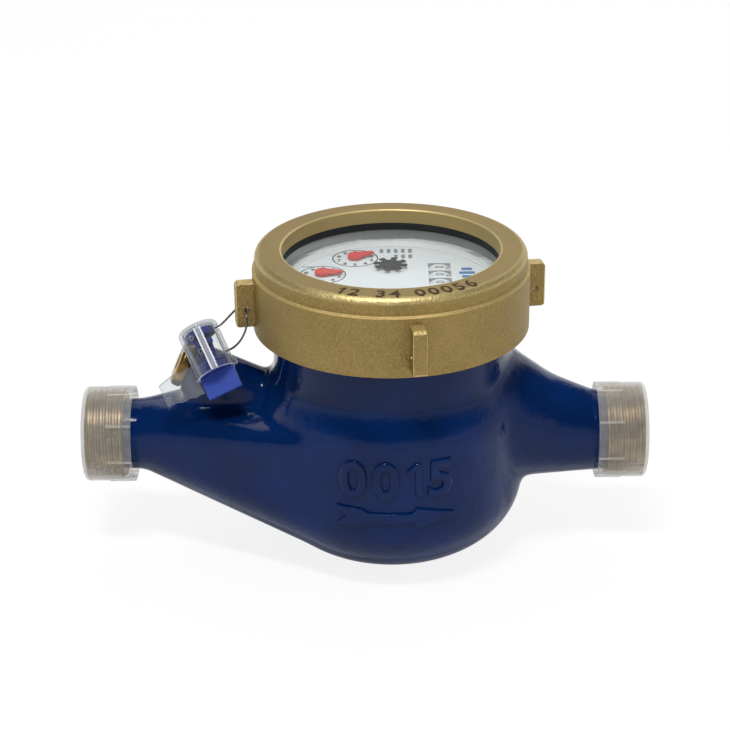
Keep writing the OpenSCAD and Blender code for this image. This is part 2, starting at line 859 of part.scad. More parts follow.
// Idler from the star arbor to the first pointer
idler_turn = mesh_turn(star_pinion_turn, star_pinion_teeth, idler_teeth, star_pos, idler_pos);
module idler_gear() {
    color("gold")
        translate([idler_pos[0], idler_pos[1], 0]) {
            on_stud()
                gear(idler_teeth, idler_turn, level(2), gear_t);
            sleeve(level(2), bridge_z - clear);
        }
}

// Pointer arbors: a gear from the step before and a pinion to the next
function first_gear_turn() = mesh_turn(idler_turn, idler_teeth, first_gear_teeth, idler_pos, pointer_pos[0]);
pinion_turn = 0;
function step_turn(i) =
    mesh_turn(pinion_turn, pointer_pinion_teeth, step_gear_teeth, pointer_pos[i], step_pos[i]);
function pointer_gear_turn(i) =
    i == 0 ? first_gear_turn() :
    mesh_turn(pinion_turn, step_pinion_teeth, pointer_gear_teeth, step_pos[i - 1], pointer_pos[i]);
function pointer_teeth(i) = i == 0 ? first_gear_teeth : pointer_gear_teeth;
module pointer_arbor(i) {
    color("gold")
        translate([pointer_pos[i][0], pointer_pos[i][1], 0]) {
            arbor(bridge_z + bridge_t);
            post(pivot_r, bridge_z, tip_top);
            gear(pointer_teeth(i), pointer_gear_turn(i), level_of_gear[i], gear_t);
            gear(pointer_pinion_teeth, pinion_turn, level_of_pinion[i], gear_t);
        }
}
module pointer_arbor_1() { pointer_arbor(0); }
module pointer_arbor_2() { pointer_arbor(1); }
module pointer_arbor_3() { pointer_arbor(2); }
module pointer_arbor_4() { pointer_arbor(3); }

// Pointers
pointer_turns = [24, -2, 100, 20];
pointer_blunt = 0.6;
module pointer(i) {
    color("red")
        translate([pointer_pos[i][0], pointer_pos[i][1], tip_z])
            rotate([0, 0, pointer_turns[i]])
                tip(pointer_hub_r) {
                    circle(r = pointer_hub_r);
                    polygon([
                        [0, -pointer_hub_r], [pointer_len, -pointer_blunt], [pointer_len, pointer_blunt],
                        [0, pointer_hub_r]
                    ]);
                }
}
module pointer_1() { pointer(0); }
module pointer_2() { pointer(1); }
module pointer_3() { pointer(2); }
module pointer_4() { pointer(3); }

// Step gears that divide by ten from one pointer to the next
module step_gear(i) {
    color("gold")
        translate([step_pos[i][0], step_pos[i][1], 0]) {
            on_stud() {
                gear(step_gear_teeth, step_turn(i), level_of_step[i], gear_t);
                gear(step_pinion_teeth, pinion_turn, level_of_step[i] + gear_t - clear, level_pitch + clear);
            }
            sleeve(level_of_step[i], bridge_z - clear);
        }
}
module step_gear_1() { step_gear(0); }
module step_gear_2() { step_gear(1); }
module step_gear_3() { step_gear(2); }

// Drive to the number wheels
carrier_turn = mesh_turn(pinion_turn, pointer_pinion_teeth, carrier_teeth, pointer_pos[3], carrier_pos);
wheel_drive_turn = mesh_turn(carrier_turn, carrier_teeth, wheel_drive_teeth, carrier_pos, wheel_drive_pos);
peg_finger_w = 0.4;
peg_pinion_z = wheel_z - peg_ring_r;
module carrier_gear() {
    color("gold")
        translate([carrier_pos[0], carrier_pos[1], 0]) {
            on_stud()
                gear(carrier_teeth, carrier_turn, level(2), gear_t);
            sleeve(level(2), bridge_z - clear);
        }
}
module wheel_drive_gear() {
    color("gold")
        translate([wheel_drive_pos[0], wheel_drive_pos[1], 0])
            on_stud() {
                post(pivot_r + running + sleeve_wall, floor_z + clear, peg_pinion_z + clear / 2);
                gear(wheel_drive_teeth, wheel_drive_turn, level(2), gear_t);
                for (i = [0:peg_pinion_teeth - 1])
                    rotate([0, 0, 90 + 360 * i / peg_pinion_teeth])
                        translate([0, -peg_finger_w / 2, peg_pinion_z - clear / 2])
                            cube([peg_pinion_r + peg_pinion_tip, peg_finger_w, clear]);
            }
}

// Number wheels
module number_wheel(i) {
    color("white")
        translate([wheel_x, wheel_y(i), wheel_z])
            rotate([90, 0, 0])
                difference() {
                    cylinder(r = wheel_r, h = wheel_w, center = true);
                    cylinder(r = wheel_shaft_r + running, h = wheel_w + 2 * cut, center = true);
                }
}
module number_wheel_1() { number_wheel(0); }
module number_wheel_2() { number_wheel(1); }
module number_wheel_3() { number_wheel(2); }
module number_wheel_4() { number_wheel(3); }
module number_wheel_5() {
    color("red") {
        number_wheel(4);
        for (k = [0:peg_count - 1])
            translate([wheel_x, wheel_row_end, wheel_z])
                rotate([0, 360 * (k + 0.5) / peg_count, 0])
                    translate([0, 0.1, -peg_ring_r])
                        rotate([90, 0, 0])
                            cylinder(r = peg_r, h = peg_len + 0.1);
    }
}

// Measuring chamber
jet_z = vane_z + 1.5;
port_z = flange_z + chamber_flange_t + 1.5;
pin_r = 0.7;
pin_boss_r = 3;
pin_boss_h = 2.5;
pin_top = vane_z + 2.5;
jet_offset = (vane_r + hub_r) / 2;
module slots(z, h, side) {
    for (i = [0:jet_count - 1])
        rotate([0, 0, 360 * i / jet_count])
            translate([side * jet_offset - jet_w / 2, 0, z])
                cube([jet_w, chamber_r + cut, h]);
}
module chamber_cup() {
    color("ivory")
        difference() {
            union() {
                turned([
                    [0, chamber_z], [chamber_r, chamber_z], [chamber_r, flange_z], [seat_r, flange_z],
                    [seat_r, flange_z + chamber_flange_t], [chamber_r, flange_z + chamber_flange_t],
                    [chamber_r, chamber_top], [chamber_r - chamber_wall, chamber_top],
                    [chamber_r - chamber_wall, chamber_in_z], [0, chamber_in_z]
                ]);
                post(pin_boss_r, chamber_in_z - cut, chamber_in_z + pin_boss_h);
            }
            slots(jet_z, jet_h, 1);
            slots(port_z, jet_h, -1);
            post(pin_r, chamber_z + 1, chamber_in_z + pin_boss_h + cut);
        }
}
module pivot_pin() {
    color("silver") {
        post(pin_r, chamber_z + 1, pin_top - pin_r);
        translate([0, 0, pin_top - pin_r])
            sphere(r = pin_r);
    }
}
module chamber_gasket() {
    color("black")
        ring_band(shelf_r, seat_r, gasket_z, flange_z);
}
cover_spigot = 1.5;
cover_collar_wall = 1.6;
module chamber_cover() {
    inner = chamber_r - chamber_wall - clear;
    color("ivory")
        difference() {
            turned([
                [0, chamber_top - cover_spigot], [inner, chamber_top - cover_spigot], [inner, chamber_top],
                [chamber_r, chamber_top], [chamber_r, dish_z], [chamber_r - cover_collar_wall, dish_z],
                [chamber_r - cover_collar_wall, cover_top], [0, cover_top]
            ]);
            post(impeller_shaft_r + running, chamber_top - cover_spigot - cut, cover_top + cut);
        }
}
strainer_top = shelf_z - shelf_t - clear;
strainer_low = chamber_z + 2;
strainer_lip = 1.2;
slot_w = 3;
module strainer() {
    inner = shelf_r;
    outer = strainer_r;
    slot_h = strainer_top - strainer_low - 4 * strainer_lip;
    color("silver")
        difference() {
            turned([
                [inner, strainer_low], [outer, strainer_low], [outer, strainer_top], [inner, strainer_top],
                [inner, strainer_top - strainer_lip], [outer - strainer_wall, strainer_top - strainer_lip],
                [outer - strainer_wall, strainer_low + strainer_lip], [inner, strainer_low + strainer_lip]
            ]);
            for (i = [0:strainer_slots - 1])
                rotate([0, 0, 360 * i / strainer_slots])
                    translate([inner + strainer_gap / 2, -slot_w / 2, strainer_low + 2 * strainer_lip])
                        cube([strainer_gap + strainer_wall, slot_w, slot_h]);
        }
}

// Impeller with its bearing and the drive magnet
bearing_r = 1.6;
bearing_len = 3;
vane_root = 1;
module impeller() {
    color("white")
        difference() {
            union() {
                post(hub_r, vane_z, vane_z + vane_h);
                post(impeller_shaft_r, vane_z, drive_magnet_top);
                for (i = [0:vane_count - 1])
                    rotate([0, 0, 360 * i / vane_count])
                        translate([hub_r - vane_root, -vane_t / 2, vane_z])
                            cube([vane_r - hub_r + vane_root, vane_t, vane_h]);
            }
            post(bearing_r, vane_z - cut, vane_z + bearing_len);
        }
}
module impeller_bearing() {
    color("firebrick")
        turned([
            [pin_r + running, vane_z], [bearing_r, vane_z], [bearing_r, vane_z + bearing_len],
            [0, vane_z + bearing_len], [0, pin_top + running], [pin_r + running, pin_top + running]
        ]);
}
module drive_magnet() {
    color("darkslategray")
        ring_band(impeller_shaft_r, magnet_r, drive_magnet_top - drive_magnet_h, drive_magnet_top);
}

// Regulator screw, its seal, and the plug that closes the boss
regulator_ring_r = 0.7;
slot_t = 1.2;
screw_tip = 2.4;
module regulator_screw() {
    color("goldenrod")
        boss_frame()
            translate([0, 0, -plug_depth - screw_len])
                difference() {
                    union() {
                        cylinder(r = screw_r, h = screw_len);
                        translate([0, 0, -screw_tip])
                            cylinder(r1 = bypass_r / 2, r2 = bypass_r, h = screw_tip);
                    }
                    translate([-screw_r - cut, -slot_t / 2, screw_len - slot_t])
                        cube([2 * (screw_r + cut), slot_t, slot_t + cut]);
                    translate([0, 0, screw_len / 2])
                        rotate_extrude()
                            translate([screw_bore_r - regulator_ring_r, 0])
                                circle(r = regulator_ring_r);
                }
}
module regulator_o_ring() {
    color("black")
        boss_frame()
            translate([0, 0, -plug_depth - screw_len / 2])
                rotate_extrude()
                    translate([screw_bore_r - regulator_ring_r, 0])
                        circle(r = regulator_ring_r);
}
plug_socket_r = 2.6;
plug_socket_h = 2;
module regulator_plug() {
    color("goldenrod")
        boss_frame()
            difference() {
                union() {
                    translate([0, 0, -plug_depth])
                        cylinder(r = screw_r, h = plug_depth);
                    cylinder(r = plug_head_r, h = plug_head_h - ring_step);
                    translate([0, 0, plug_head_h - ring_step])
                        cylinder(r1 = plug_head_r, r2 = plug_head_r - ring_step, h = ring_step);
                }
                translate([0, 0, plug_head_h - plug_socket_h])
                    cylinder(r = plug_socket_r, h = plug_socket_h + cut, $fn = 6);
            }
}

// Seal frame: origin inside the housing, Z towards its closed end
seal_round = 41.7;
seal_along = 2.6;
seal_skew = 47.1;
seal_spin = 62.6;
module seal_frame() {
    boss_frame()
        rotate([0, 0, -seal_round])
            translate([boss_r + seal_r + clear, 0, -seal_along])
                rotate([-seal_skew, 0, 0])
                    rotate([0, 0, seal_spin])
                        children();
}
wire_holes = [-2.6, 5.1];
wire_hole_r = 1;
seal_dome = 1.6;
lug_w = 2;
lug_h = 1.6;
lug_reach = 1;
flag_low = -4.2;
flag_high = 4.8;
flag_waves = 3;
flag_wave = 0.7;
seal_mouth = -7;
seal_top = seal_mouth + seal_len;
flag_rise = 0.12;
flag_root = seal_r - seal_wall / 2;
flag_steps = 12;
flag_nose = 4;
flag_drop = 1;
function flag_x(i) = flag_root + i * (flag_reach - flag_root) / flag_steps;
function flag_edge(i) =
    flag_low + (flag_x(i) - flag_root) * flag_rise + flag_wave * sin(360 * flag_waves * i / flag_steps);
module seal_housing() {
    inner = seal_r - seal_wall;
    color("lightcyan", 0.5)
        seal_frame()
            difference() {
                union() {
                    turned(concat(
                        [[inner, seal_mouth], [seal_r, seal_mouth]],
                        arc([seal_r - seal_dome, seal_top - seal_dome], seal_dome, 0, 90),
                        [
                            [0, seal_top], [0, seal_top - seal_wall],
                            [inner - seal_wall, seal_top - seal_wall], [inner, seal_top - 2 * seal_wall]
                        ]
                    ));
                    for (turn = [0, 180])
                        rotate([0, 0, turn])
                            translate([seal_r - seal_wall / 2, -lug_w / 2, seal_mouth])
                                cube([lug_reach, lug_w, lug_h]);
                    translate([0, flag_t / 2, seal_mouth])
                        rotate([90, 0, 0])
                            linear_extrude(height = flag_t)
                                polygon(concat(
                                    [for (i = [0:flag_steps]) [-flag_x(i), flag_edge(i)]],
                                    [
                                        [-flag_reach, flag_high - flag_drop],
                                        [-flag_reach + flag_nose, flag_high], [-flag_root, flag_high]
                                    ]
                                ));
                }
                for (z = wire_holes)
                    translate([0, 0, z])
                        rotate([0, 90, 0])
                            cylinder(r = wire_hole_r, h = seal_r + cut);
            }
}
rotor_clear = 0.25;
rotor_core_r = 2.4;
rotor_foot_h = 3.3;
rotor_head_h = 2;
rotor_taper = 0.5;
rotor_grooves = 2;
rotor_pitch = 1.2;
rotor_groove = 0.4;
function groove_section(r, z) = [
    [r, z], [r - rotor_groove, z + rotor_groove / 2], [r - rotor_groove, z + rotor_groove],
    [r, z + 3 * rotor_groove / 2]
];
module seal_rotor() {
    inner = seal_r - seal_wall - rotor_clear;
    top = seal_top - 2 * seal_wall - rotor_clear;
    color("royalblue")
        seal_frame() {
            turned(concat(
                [[0, seal_mouth], [inner, seal_mouth]],
                [
                    for (k = [1:rotor_grooves])
                        for (p = groove_section(inner, seal_mouth + k * rotor_pitch - rotor_groove)) p
                ],
                [
                    [inner, seal_mouth + rotor_foot_h], [rotor_core_r, seal_mouth + rotor_foot_h + rotor_taper],
                    [rotor_core_r, top - rotor_head_h - rotor_taper],
                    [inner - rotor_taper, top - rotor_head_h], [inner - rotor_taper, top], [0, top]
                ]
            ));
            translate([-tab_w / 2, -tab_t / 2, seal_mouth - tab_len - rotor_clear])
                cube([tab_w, tab_t, tab_len]);
            translate([-inner, -tab_t / 2, seal_mouth - 2 * rotor_clear])
                cube([2 * inner, tab_t, 2 * rotor_clear + cut]);
        }
}

// Seal wire: a loop from the housing through the left ear and back
wire_route = [
    [-51.2, -6, 70.6], [-50.1, -5.9, 71.1], [-48.6, -5.2, 72.1], [-45.8, -3.6, 74.6], [-43.4, -2.9, 76.6],
    [-42.5, -3.9, 77.4], [-42.3, -5.1, 77.4], [-42, -7, 77.3], [-41.7, -9, 77.2], [-41.5, -10.6, 76.7],
    [-41.4, -11.8, 75.1], [-41.9, -12.3, 72.4], [-43.4, -11.8, 69.2], [-45.3, -10.9, 66.8],
    [-46.9, -10.1, 65.5], [-48, -10.1, 65]
];
wire_steps = 4;
wire_sides = 8;
wire_ref = [0.6, 0.5, -0.6];
function wire_at(i) = wire_route[min(max(i, 0), len(wire_route) - 1)];
function wire_point(i, t) =
    let (a = wire_at(i - 1))
    let (b = wire_at(i))
    let (c = wire_at(i + 1))
    let (d = wire_at(i + 2))
    (2 * b + (c - a) * t + (2 * a - 5 * b + 4 * c - d) * t * t + (3 * b - a - 3 * c + d) * t * t * t) / 2;
wire_points = concat(
    [for (i = [0:len(wire_route) - 2], s = [0:wire_steps - 1]) wire_point(i, s / wire_steps)],
    [wire_at(len(wire_route) - 1)]
);
function unit(v) = v / norm(v);
function wire_ring(i) =
    let (last = len(wire_points) - 1)
    let (along = unit(wire_points[min(i + 1, last)] - wire_points[max(i - 1, 0)]))
    let (side = unit(cross(along, wire_ref)))
    let (up = cross(side, along))
    [
        for (k = [0:wire_sides - 1])
            let (a = 360 * k / wire_sides)
            wire_points[i] + wire_r * (cos(a) * side + sin(a) * up)
    ];
module seal_wire() {
    color("silver")
        skin([for (i = [0:len(wire_points) - 1]) wire_ring(i)]);
}

// Protective caps: a shell that bears on the pipe end, with a bead behind the thread
cap_in_r = thread_r + cap_play;
cap_out_r = cap_in_r + cap_wall;
cap_band_r = cap_out_r + cap_band_t;
cap_bead_r = thread_r + clear;
cap_bead_len = cap_skirt - 2 * clear;
cap_round = 1.2;
cap_rib_w = 0.7;
module cap() {
    depth = thread_len + cap_skirt;
    turned(concat(
        [[0, -cap_end_t]],
        arc([cap_out_r - cap_round, cap_round - cap_end_t], cap_round, -90, 0),
        [
            [cap_out_r, depth - cap_band_len], [cap_band_r, depth - cap_band_len], [cap_band_r, depth],
            [cap_bead_r, depth], [cap_bead_r, depth - cap_bead_len + cap_play],
            [cap_in_r, depth - cap_bead_len], [cap_in_r, 0], [0, 0]
        ]
    ));
    for (i = [0:cap_ribs - 1])
        rotate([0, 0, 360 * (i + 0.25) / cap_ribs])
            translate([cap_band_r - cap_band_t / 2, -cap_rib_w / 2, depth - cap_band_len])
                cube([cap_band_t / 2 + cap_rib_h, cap_rib_w, cap_band_len]);
}
module inlet_cap() {
    color("gainsboro", 0.6)
        along_flow(-inlet_len)
            cap();
}
module outlet_cap() {
    color("gainsboro", 0.6)
        along_flow(outlet_len)
            mirror([0, 0, 1])
                cap();
}

meter_body();
retaining_ring();
glass_window();
glass_gasket();
register_cup();
dial_plate();
bridge_plate();
magnetic_shield();
pressure_plate();
body_o_ring();
chamber_cup();
chamber_gasket();
chamber_cover();
strainer();
pivot_pin();
regulator_screw();
regulator_o_ring();
regulator_plug();
seal_housing();
seal_rotor();
seal_wire();
wheel_shaft();
impeller();
impeller_bearing();
drive_magnet();
magnet_arbor();
driven_magnet();
star_arbor();
star_wheel();
idler_gear();
pointer_arbor_1();
pointer_arbor_2();
pointer_arbor_3();
pointer_arbor_4();
pointer_1();
pointer_2();
pointer_3();
pointer_4();
step_gear_1();
step_gear_2();
step_gear_3();
carrier_gear();
wheel_drive_gear();
number_wheel_1();
number_wheel_2();
number_wheel_3();
number_wheel_4();
number_wheel_5();
inlet_cap();
outlet_cap();
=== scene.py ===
"""Looks of a multi-jet water meter: painted casting, brass ring, register, tamper seal and end caps."""

import logging
import math
from collections.abc import Callable, Iterable, Sequence
from dataclasses import dataclass, field
from enum import Enum
from functools import cache

import bmesh
import bpy
from bmesh.types import BMesh
from mathutils import Matrix, Vector
from mathutils.bvhtree import BVHTree


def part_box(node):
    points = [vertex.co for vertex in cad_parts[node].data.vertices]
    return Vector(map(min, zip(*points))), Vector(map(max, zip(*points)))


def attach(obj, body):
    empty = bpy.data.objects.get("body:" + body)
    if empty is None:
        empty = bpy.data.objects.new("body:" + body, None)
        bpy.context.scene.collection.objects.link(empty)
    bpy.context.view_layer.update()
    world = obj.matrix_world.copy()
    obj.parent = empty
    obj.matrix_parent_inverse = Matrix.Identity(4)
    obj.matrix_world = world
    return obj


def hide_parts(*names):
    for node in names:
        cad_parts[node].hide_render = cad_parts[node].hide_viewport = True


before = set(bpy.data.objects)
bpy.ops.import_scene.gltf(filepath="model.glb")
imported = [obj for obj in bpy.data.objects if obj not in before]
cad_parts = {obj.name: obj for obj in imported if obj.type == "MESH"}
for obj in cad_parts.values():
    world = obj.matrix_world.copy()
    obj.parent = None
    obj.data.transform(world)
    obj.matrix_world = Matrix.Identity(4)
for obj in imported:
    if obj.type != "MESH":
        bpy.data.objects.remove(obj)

log = logging.getLogger("water_meter")
MM = 0.001
WELD = 1e-6
ROOT_BODY = "meter"
Triple = tuple[float, float, float]
Colour = Triple
Point = tuple[float, float]
Chooser = Callable[[Vector, Vector], int]
DECADE = 10
# Least Z of a level face's normal, and the most of a steep face's.
LEVEL = 0.9
STEEP = 0.5
# Edges that bend less, in degrees, are shaded smooth: on print and figures, and on castings.
CRISP = 20.0
SOFT = 60.0


class Flow(Enum):
    """End of the meter, as the sign of its direction along X."""

    INLET = -1
    OUTLET = 1


class Cut(Enum):
    """How one solid is combined with another."""

    JOIN = "UNION"
    TAKE_AWAY = "DIFFERENCE"


def rgb(red: int, green: int, blue: int) -> Colour:
    """Turn a screen colour, each part from 0 to 255, into the linear one of the sRGB curve."""
    shares = (red / 255, green / 255, blue / 255)
    return tuple(s / 12.92 if s <= 0.04045 else ((s + 0.055) / 1.055) ** 2.4 for s in shares)


def dimmed(colour: Colour, share: float) -> Colour:
    """A share of a colour."""
    return tuple(part * share for part in colour)


class Sock:
    """A shader socket that takes part in Python arithmetic: each operator adds a Math node."""

    def __init__(self, net: "Net", out: bpy.types.NodeSocket) -> None:
        """Wrap one output socket of a net."""
        self.net = net
        self.out = out

    def maths(self, operation: str, *values: "Sock | float") -> "Sock":
        """Add one Math node over these values."""
        return self.net.node("ShaderNodeMath", {"operation": operation}, dict(enumerate(values)))

    def __add__(self, other: "Sock | float") -> "Sock":
        """Sum with another value."""
        return self.maths("ADD", self, other)

    def __sub__(self, other: "Sock | float") -> "Sock":
        """Difference from another value."""
        return self.maths("SUBTRACT", self, other)

    def __rsub__(self, other: float) -> "Sock":
        """Difference of a number from this value."""
        return self.maths("SUBTRACT", other, self)

    def __mul__(self, other: "Sock | float") -> "Sock":
        """Product with another value."""
        return self.maths("MULTIPLY", self, other)

    def __pow__(self, other: float) -> "Sock":
        """Power of this value."""
        return self.maths("POWER", self, other)

    def most(self, other: "Sock") -> "Sock":
        """The greater of this and another value."""
        return self.maths("MAXIMUM", self, other)

    def ramp(self, low: float, high: float) -> "Sock":
        """Smooth step from 0 at low to 1 at high."""
        settings = {"interpolation_type": "SMOOTHSTEP"}
        limits = {"Value": self, "From Min": low, "From Max": high}
        return self.net.node("ShaderNodeMapRange", settings, limits)

class Net:
    """Node tree of a material or of the world."""

    def __init__(self, owner: bpy.types.ID) -> None:
        """Start with an empty tree."""
        owner.use_nodes = True
        self.owner = owner
        self.tree = owner.node_tree
        self.tree.nodes.clear()

    def node(
        self, kind: str, settings: dict | None = None, sockets: dict | None = None, out: int | str = 0
    ) -> Sock:
        """Add a node.

        Args:
            kind: The node's type.
            settings: Properties of the node, set first.
            sockets: Values or links of its inputs, by name or number.
            out: Name or number of the output that is wanted.

        Returns:
            That output, wrapped.
        """
        made = self.tree.nodes.new(kind)
        for key, value in (settings or {}).items():
            setattr(made, key, value)
        for key, value in (sockets or {}).items():
            socket = made.inputs[key]
            if isinstance(value, Sock):
                self.tree.links.new(value.out, socket)
            elif socket.type == "RGBA" and len(value) == 3:
                socket.default_value = (*value, 1.0)
            else:
                socket.default_value = value
        return Sock(self, made.outputs[out])

    def place(self) -> Sock:
        """Object coordinates, in metres."""
        return self.node("ShaderNodeTexCoord", out="Object")

    def axis(self, name: str) -> Sock:
        """One of the object coordinates, named X, Y or Z."""
        return self.node("ShaderNodeSeparateXYZ", sockets={0: self.place()}, out=name)

    def radius(self, first: str = "X", second: str = "Y") -> Sock:
        """Distance from the axis across these two coordinates."""
        return (self.axis(first) ** 2 + self.axis(second) ** 2) ** 0.5

    def facing(self, blend: float) -> Sock:
        """Layer weight, from 0 face on to 1 at a grazing angle."""
        return self.node("ShaderNodeLayerWeight", sockets={"Blend": blend}, out="Facing")

    def noise(self, size: float, detail: float = 3.0, stretch: Triple = (1, 1, 1)) -> Sock:
        """Soft noise from 0 to 1, with features of a size in metres, over scaled coordinates."""
        vector = self.node("ShaderNodeMapping", sockets={"Vector": self.place(), "Scale": stretch})
        values = {"Vector": vector, "Scale": 1 / size, "Detail": detail}
        return self.node("ShaderNodeTexNoise", sockets=values)

    def pits(self, size: float) -> Sock:
        """Distance to the nearest of scattered points, as in a sand-cast skin."""
        return self.node("ShaderNodeTexVoronoi", sockets={"Vector": self.place(), "Scale": 1 / size})

    def blend(self, share: Sock, first: "Sock | Colour", second: "Sock | Colour") -> Sock:
        """Mix two colours by a share."""
        settings = {"data_type": "RGBA"}
        return self.node("ShaderNodeMix", settings, {0: share, 6: first, 7: second}, out=2)

    def bump(self, height: Sock, depth: float, strength: float = 0.6) -> Sock:
        """Surface normal of a height, where depth is the height's full range in metres."""
        values = {"Height": height, "Distance": depth, "Strength": strength}
        return self.node("ShaderNodeBump", sockets=values)

    def surface(self, **sockets: "Sock | float | Colour") -> Sock:
        """Principled shader; underscores stand for the spaces in its sockets' names."""
        named = {key.replace("_", " "): value for key, value in sockets.items()}
        return self.node("ShaderNodeBsdfPrincipled", sockets=named)

    def mixed(self, share: "Sock | float", first: Sock, second: Sock) -> Sock:
        """Mix two shaders by a share."""
        return self.node("ShaderNodeMixShader", sockets={0: share, 1: first, 2: second})

    def done(self, surface: Sock, output: str = "ShaderNodeOutputMaterial") -> bpy.types.ID:
        """Link a surface to a new output node and give the tree's owner back."""
        made = self.tree.nodes.new(output)
        self.tree.links.new(surface.out, made.inputs["Surface"])
        return self.owner


@dataclass(frozen=True)
class Finish:
    """Finish of a surface, with the name of the record's slot that it belongs to."""

    name: str
    slot: str
    tint: Colour

    def shader(self, net: Net) -> Sock:
        """Build the surface of this finish in a node tree."""
        raise NotImplementedError

    def material(self) -> bpy.types.Material:
        """Build the material of this finish."""
        net = Net(bpy.data.materials.new(self.name))
        return net.done(self.shader(net))


@dataclass(frozen=True)
class Paint(Finish):
    """Glossy enamel over a rough casting."""

    shade: Colour = rgb(2, 18, 50)
    rough: float = 0.11
    gloss: float = 0.17
    cloud: float = 18 * MM
    peel: float = 2.2 * MM
    lump: float = 6 * MM
    lump_share: float = 1.6
    grit: float = 0.9 * MM
    grit_share: float = 0.2
    smear: float = 4 * MM
    smear_rough: float = 0.1
    depth: float = 0.16 * MM

    def shader(self, net: Net) -> Sock:
        """Build enamel with cloudy colour, orange peel and casting lumps."""
        lumpy = net.noise(self.peel, 2) + net.noise(self.lump, 1) * self.lump_share
        skin = lumpy + net.noise(self.grit, 1) * self.grit_share
        return net.surface(
            Base_Color=net.blend(net.noise(self.cloud, 2), self.shade, self.tint),
            Roughness=net.noise(self.smear) * self.smear_rough + (self.rough - self.smear_rough / 2),
            Specular_IOR_Level=self.gloss,
            Normal=net.bump(skin, self.depth),
        )


@dataclass(frozen=True)
class CastBrass(Finish):
    """Sand-cast brass that is machined on its top and in its mouth, with painted highlight on its crown and
    in its mouth.
    """

    dull: Colour = rgb(118, 100, 58)
    # Colour of the painted highlight on the crown and in the mouth.
    shine: Colour = rgb(240, 219, 158)
    top_z: Point = (90.7 * MM, 92.7 * MM)
    top_share: float = 0.75
    # The mouth is machined inside this radius and takes this share of painted highlight.
    mouth_r: Point = (31.9 * MM, 32.3 * MM)
    mouth_shine: float = 0.3
    # Where the crown's rounding takes its painted highlight, and how much: at least, and more with the grit.
    crown_r: Point = (37.2 * MM, 38.4 * MM)
    crown_z: Point = (90.7 * MM, 91.8 * MM)
    crown_shine: Point = (0.1, 0.45)
    cloud: float = 14 * MM
    grain: float = 0.45 * MM
    pit: float = 0.7 * MM
    pit_share: float = 0.8
    stain: Point = (0.1, 1.0)
    stain_of_cloud: float = 0.5
    stain_of_grit: float = 0.4
    clean: Point = (0.7, 0.95)
    mark: float = 0.3 * MM
    mark_share: float = 0.15
    smoothed: float = 0.85
    metal: float = 0.85
    rough: float = 0.46
    rough_of_cloud: float = 0.12
    top_polish: float = 0.04
    crown_polish: float = 0.06
    depth: float = 0.22 * MM
    strength: float = 0.9

    def shader(self, net: Net) -> Sock:
        """Build grainy brass whose machined faces are brighter and smoother, with painted highlight, grainy
        on the crown and even in the mouth.
        """
        mouth = 1 - net.radius().ramp(*self.mouth_r)
        bright = (net.axis("Z").ramp(*self.top_z) * self.top_share).most(mouth)
        worn = net.radius().ramp(*self.crown_r) * net.axis("Z").ramp(*self.crown_z)
        cloud = net.noise(self.cloud)
        grit = net.noise(self.grain) + net.pits(self.pit) * self.pit_share
        stain = (cloud * self.stain_of_cloud + grit * self.stain_of_grit).ramp(*self.stain)
        rough_skin = net.blend(stain, self.dull, self.tint)
        clean_skin = net.blend(cloud, *(dimmed(self.tint, share) for share in self.clean))
        skin = net.blend(bright, rough_skin, clean_skin)
        # Painted highlight: the crown and the mouth are blended towards the highlight colour.
        least, of_grit = self.crown_shine
        highlight_share = worn * (grit * of_grit + least) + mouth * self.mouth_shine
        smooth = self.rough - bright * self.top_polish - worn * self.crown_polish
        height = grit * (1 - bright * self.smoothed) + net.noise(self.mark, 2) * self.mark_share
        return net.surface(
            Base_Color=net.blend(highlight_share, skin, self.shine),
            Metallic=self.metal,
            Roughness=smooth + cloud * self.rough_of_cloud,
            Normal=net.bump(height, self.depth, self.strength),
        )


@dataclass(frozen=True)
class TurnedBrass(Finish):
    """Brass from the lathe, with fine tool marks and a little tarnish."""

    tarnish: Colour = rgb(112, 86, 46)
    rough: float = 0.22
    cloud: float = 5 * MM
    cloud_rough: float = 0.2
    clean: Point = (0.3, 0.75)
    mark: float = 0.5 * MM
    mark_stretch: Triple = (4, 0.4, 0.4)
    mark_depth: float = 0.03 * MM
    strength: float = 0.5

    def shader(self, net: Net) -> Sock:
        """Build bright brass with tool marks along X."""
        cloud = net.noise(self.cloud, 4)
        return net.surface(
            Base_Color=net.blend(cloud.ramp(*self.clean), self.tarnish, self.tint),
            Metallic=1.0,
            Roughness=cloud * self.cloud_rough + self.rough,
            Normal=net.bump(net.noise(self.mark, 2, self.mark_stretch), self.mark_depth, self.strength),
        )


@dataclass(frozen=True)
class Plastic(Finish):
    """Moulded plastic, rubber or print, with a faint mottle and moulding grain."""

    rough: float = 0.42
    mottle: float = 0.12
    grain: float = 0.6 * MM
    depth: float = 0.015 * MM
    metal: float = 0.0
    gloss: float = 0.3
    cloud: float = 6 * MM
    cloud_rough: float = 0.12

    def shader(self, net: Net) -> Sock:
        """Build the mottled colour and the fine grain."""
        cloud = net.noise(self.cloud)
        return net.surface(
            Base_Color=net.blend(cloud, dimmed(self.tint, 1 - self.mottle), self.tint),
            Metallic=self.metal,
            Roughness=cloud * self.cloud_rough + (self.rough - self.cloud_rough / 2),
            Specular_IOR_Level=self.gloss,
            Normal=net.bump(net.noise(self.grain, 2), self.depth),
        )


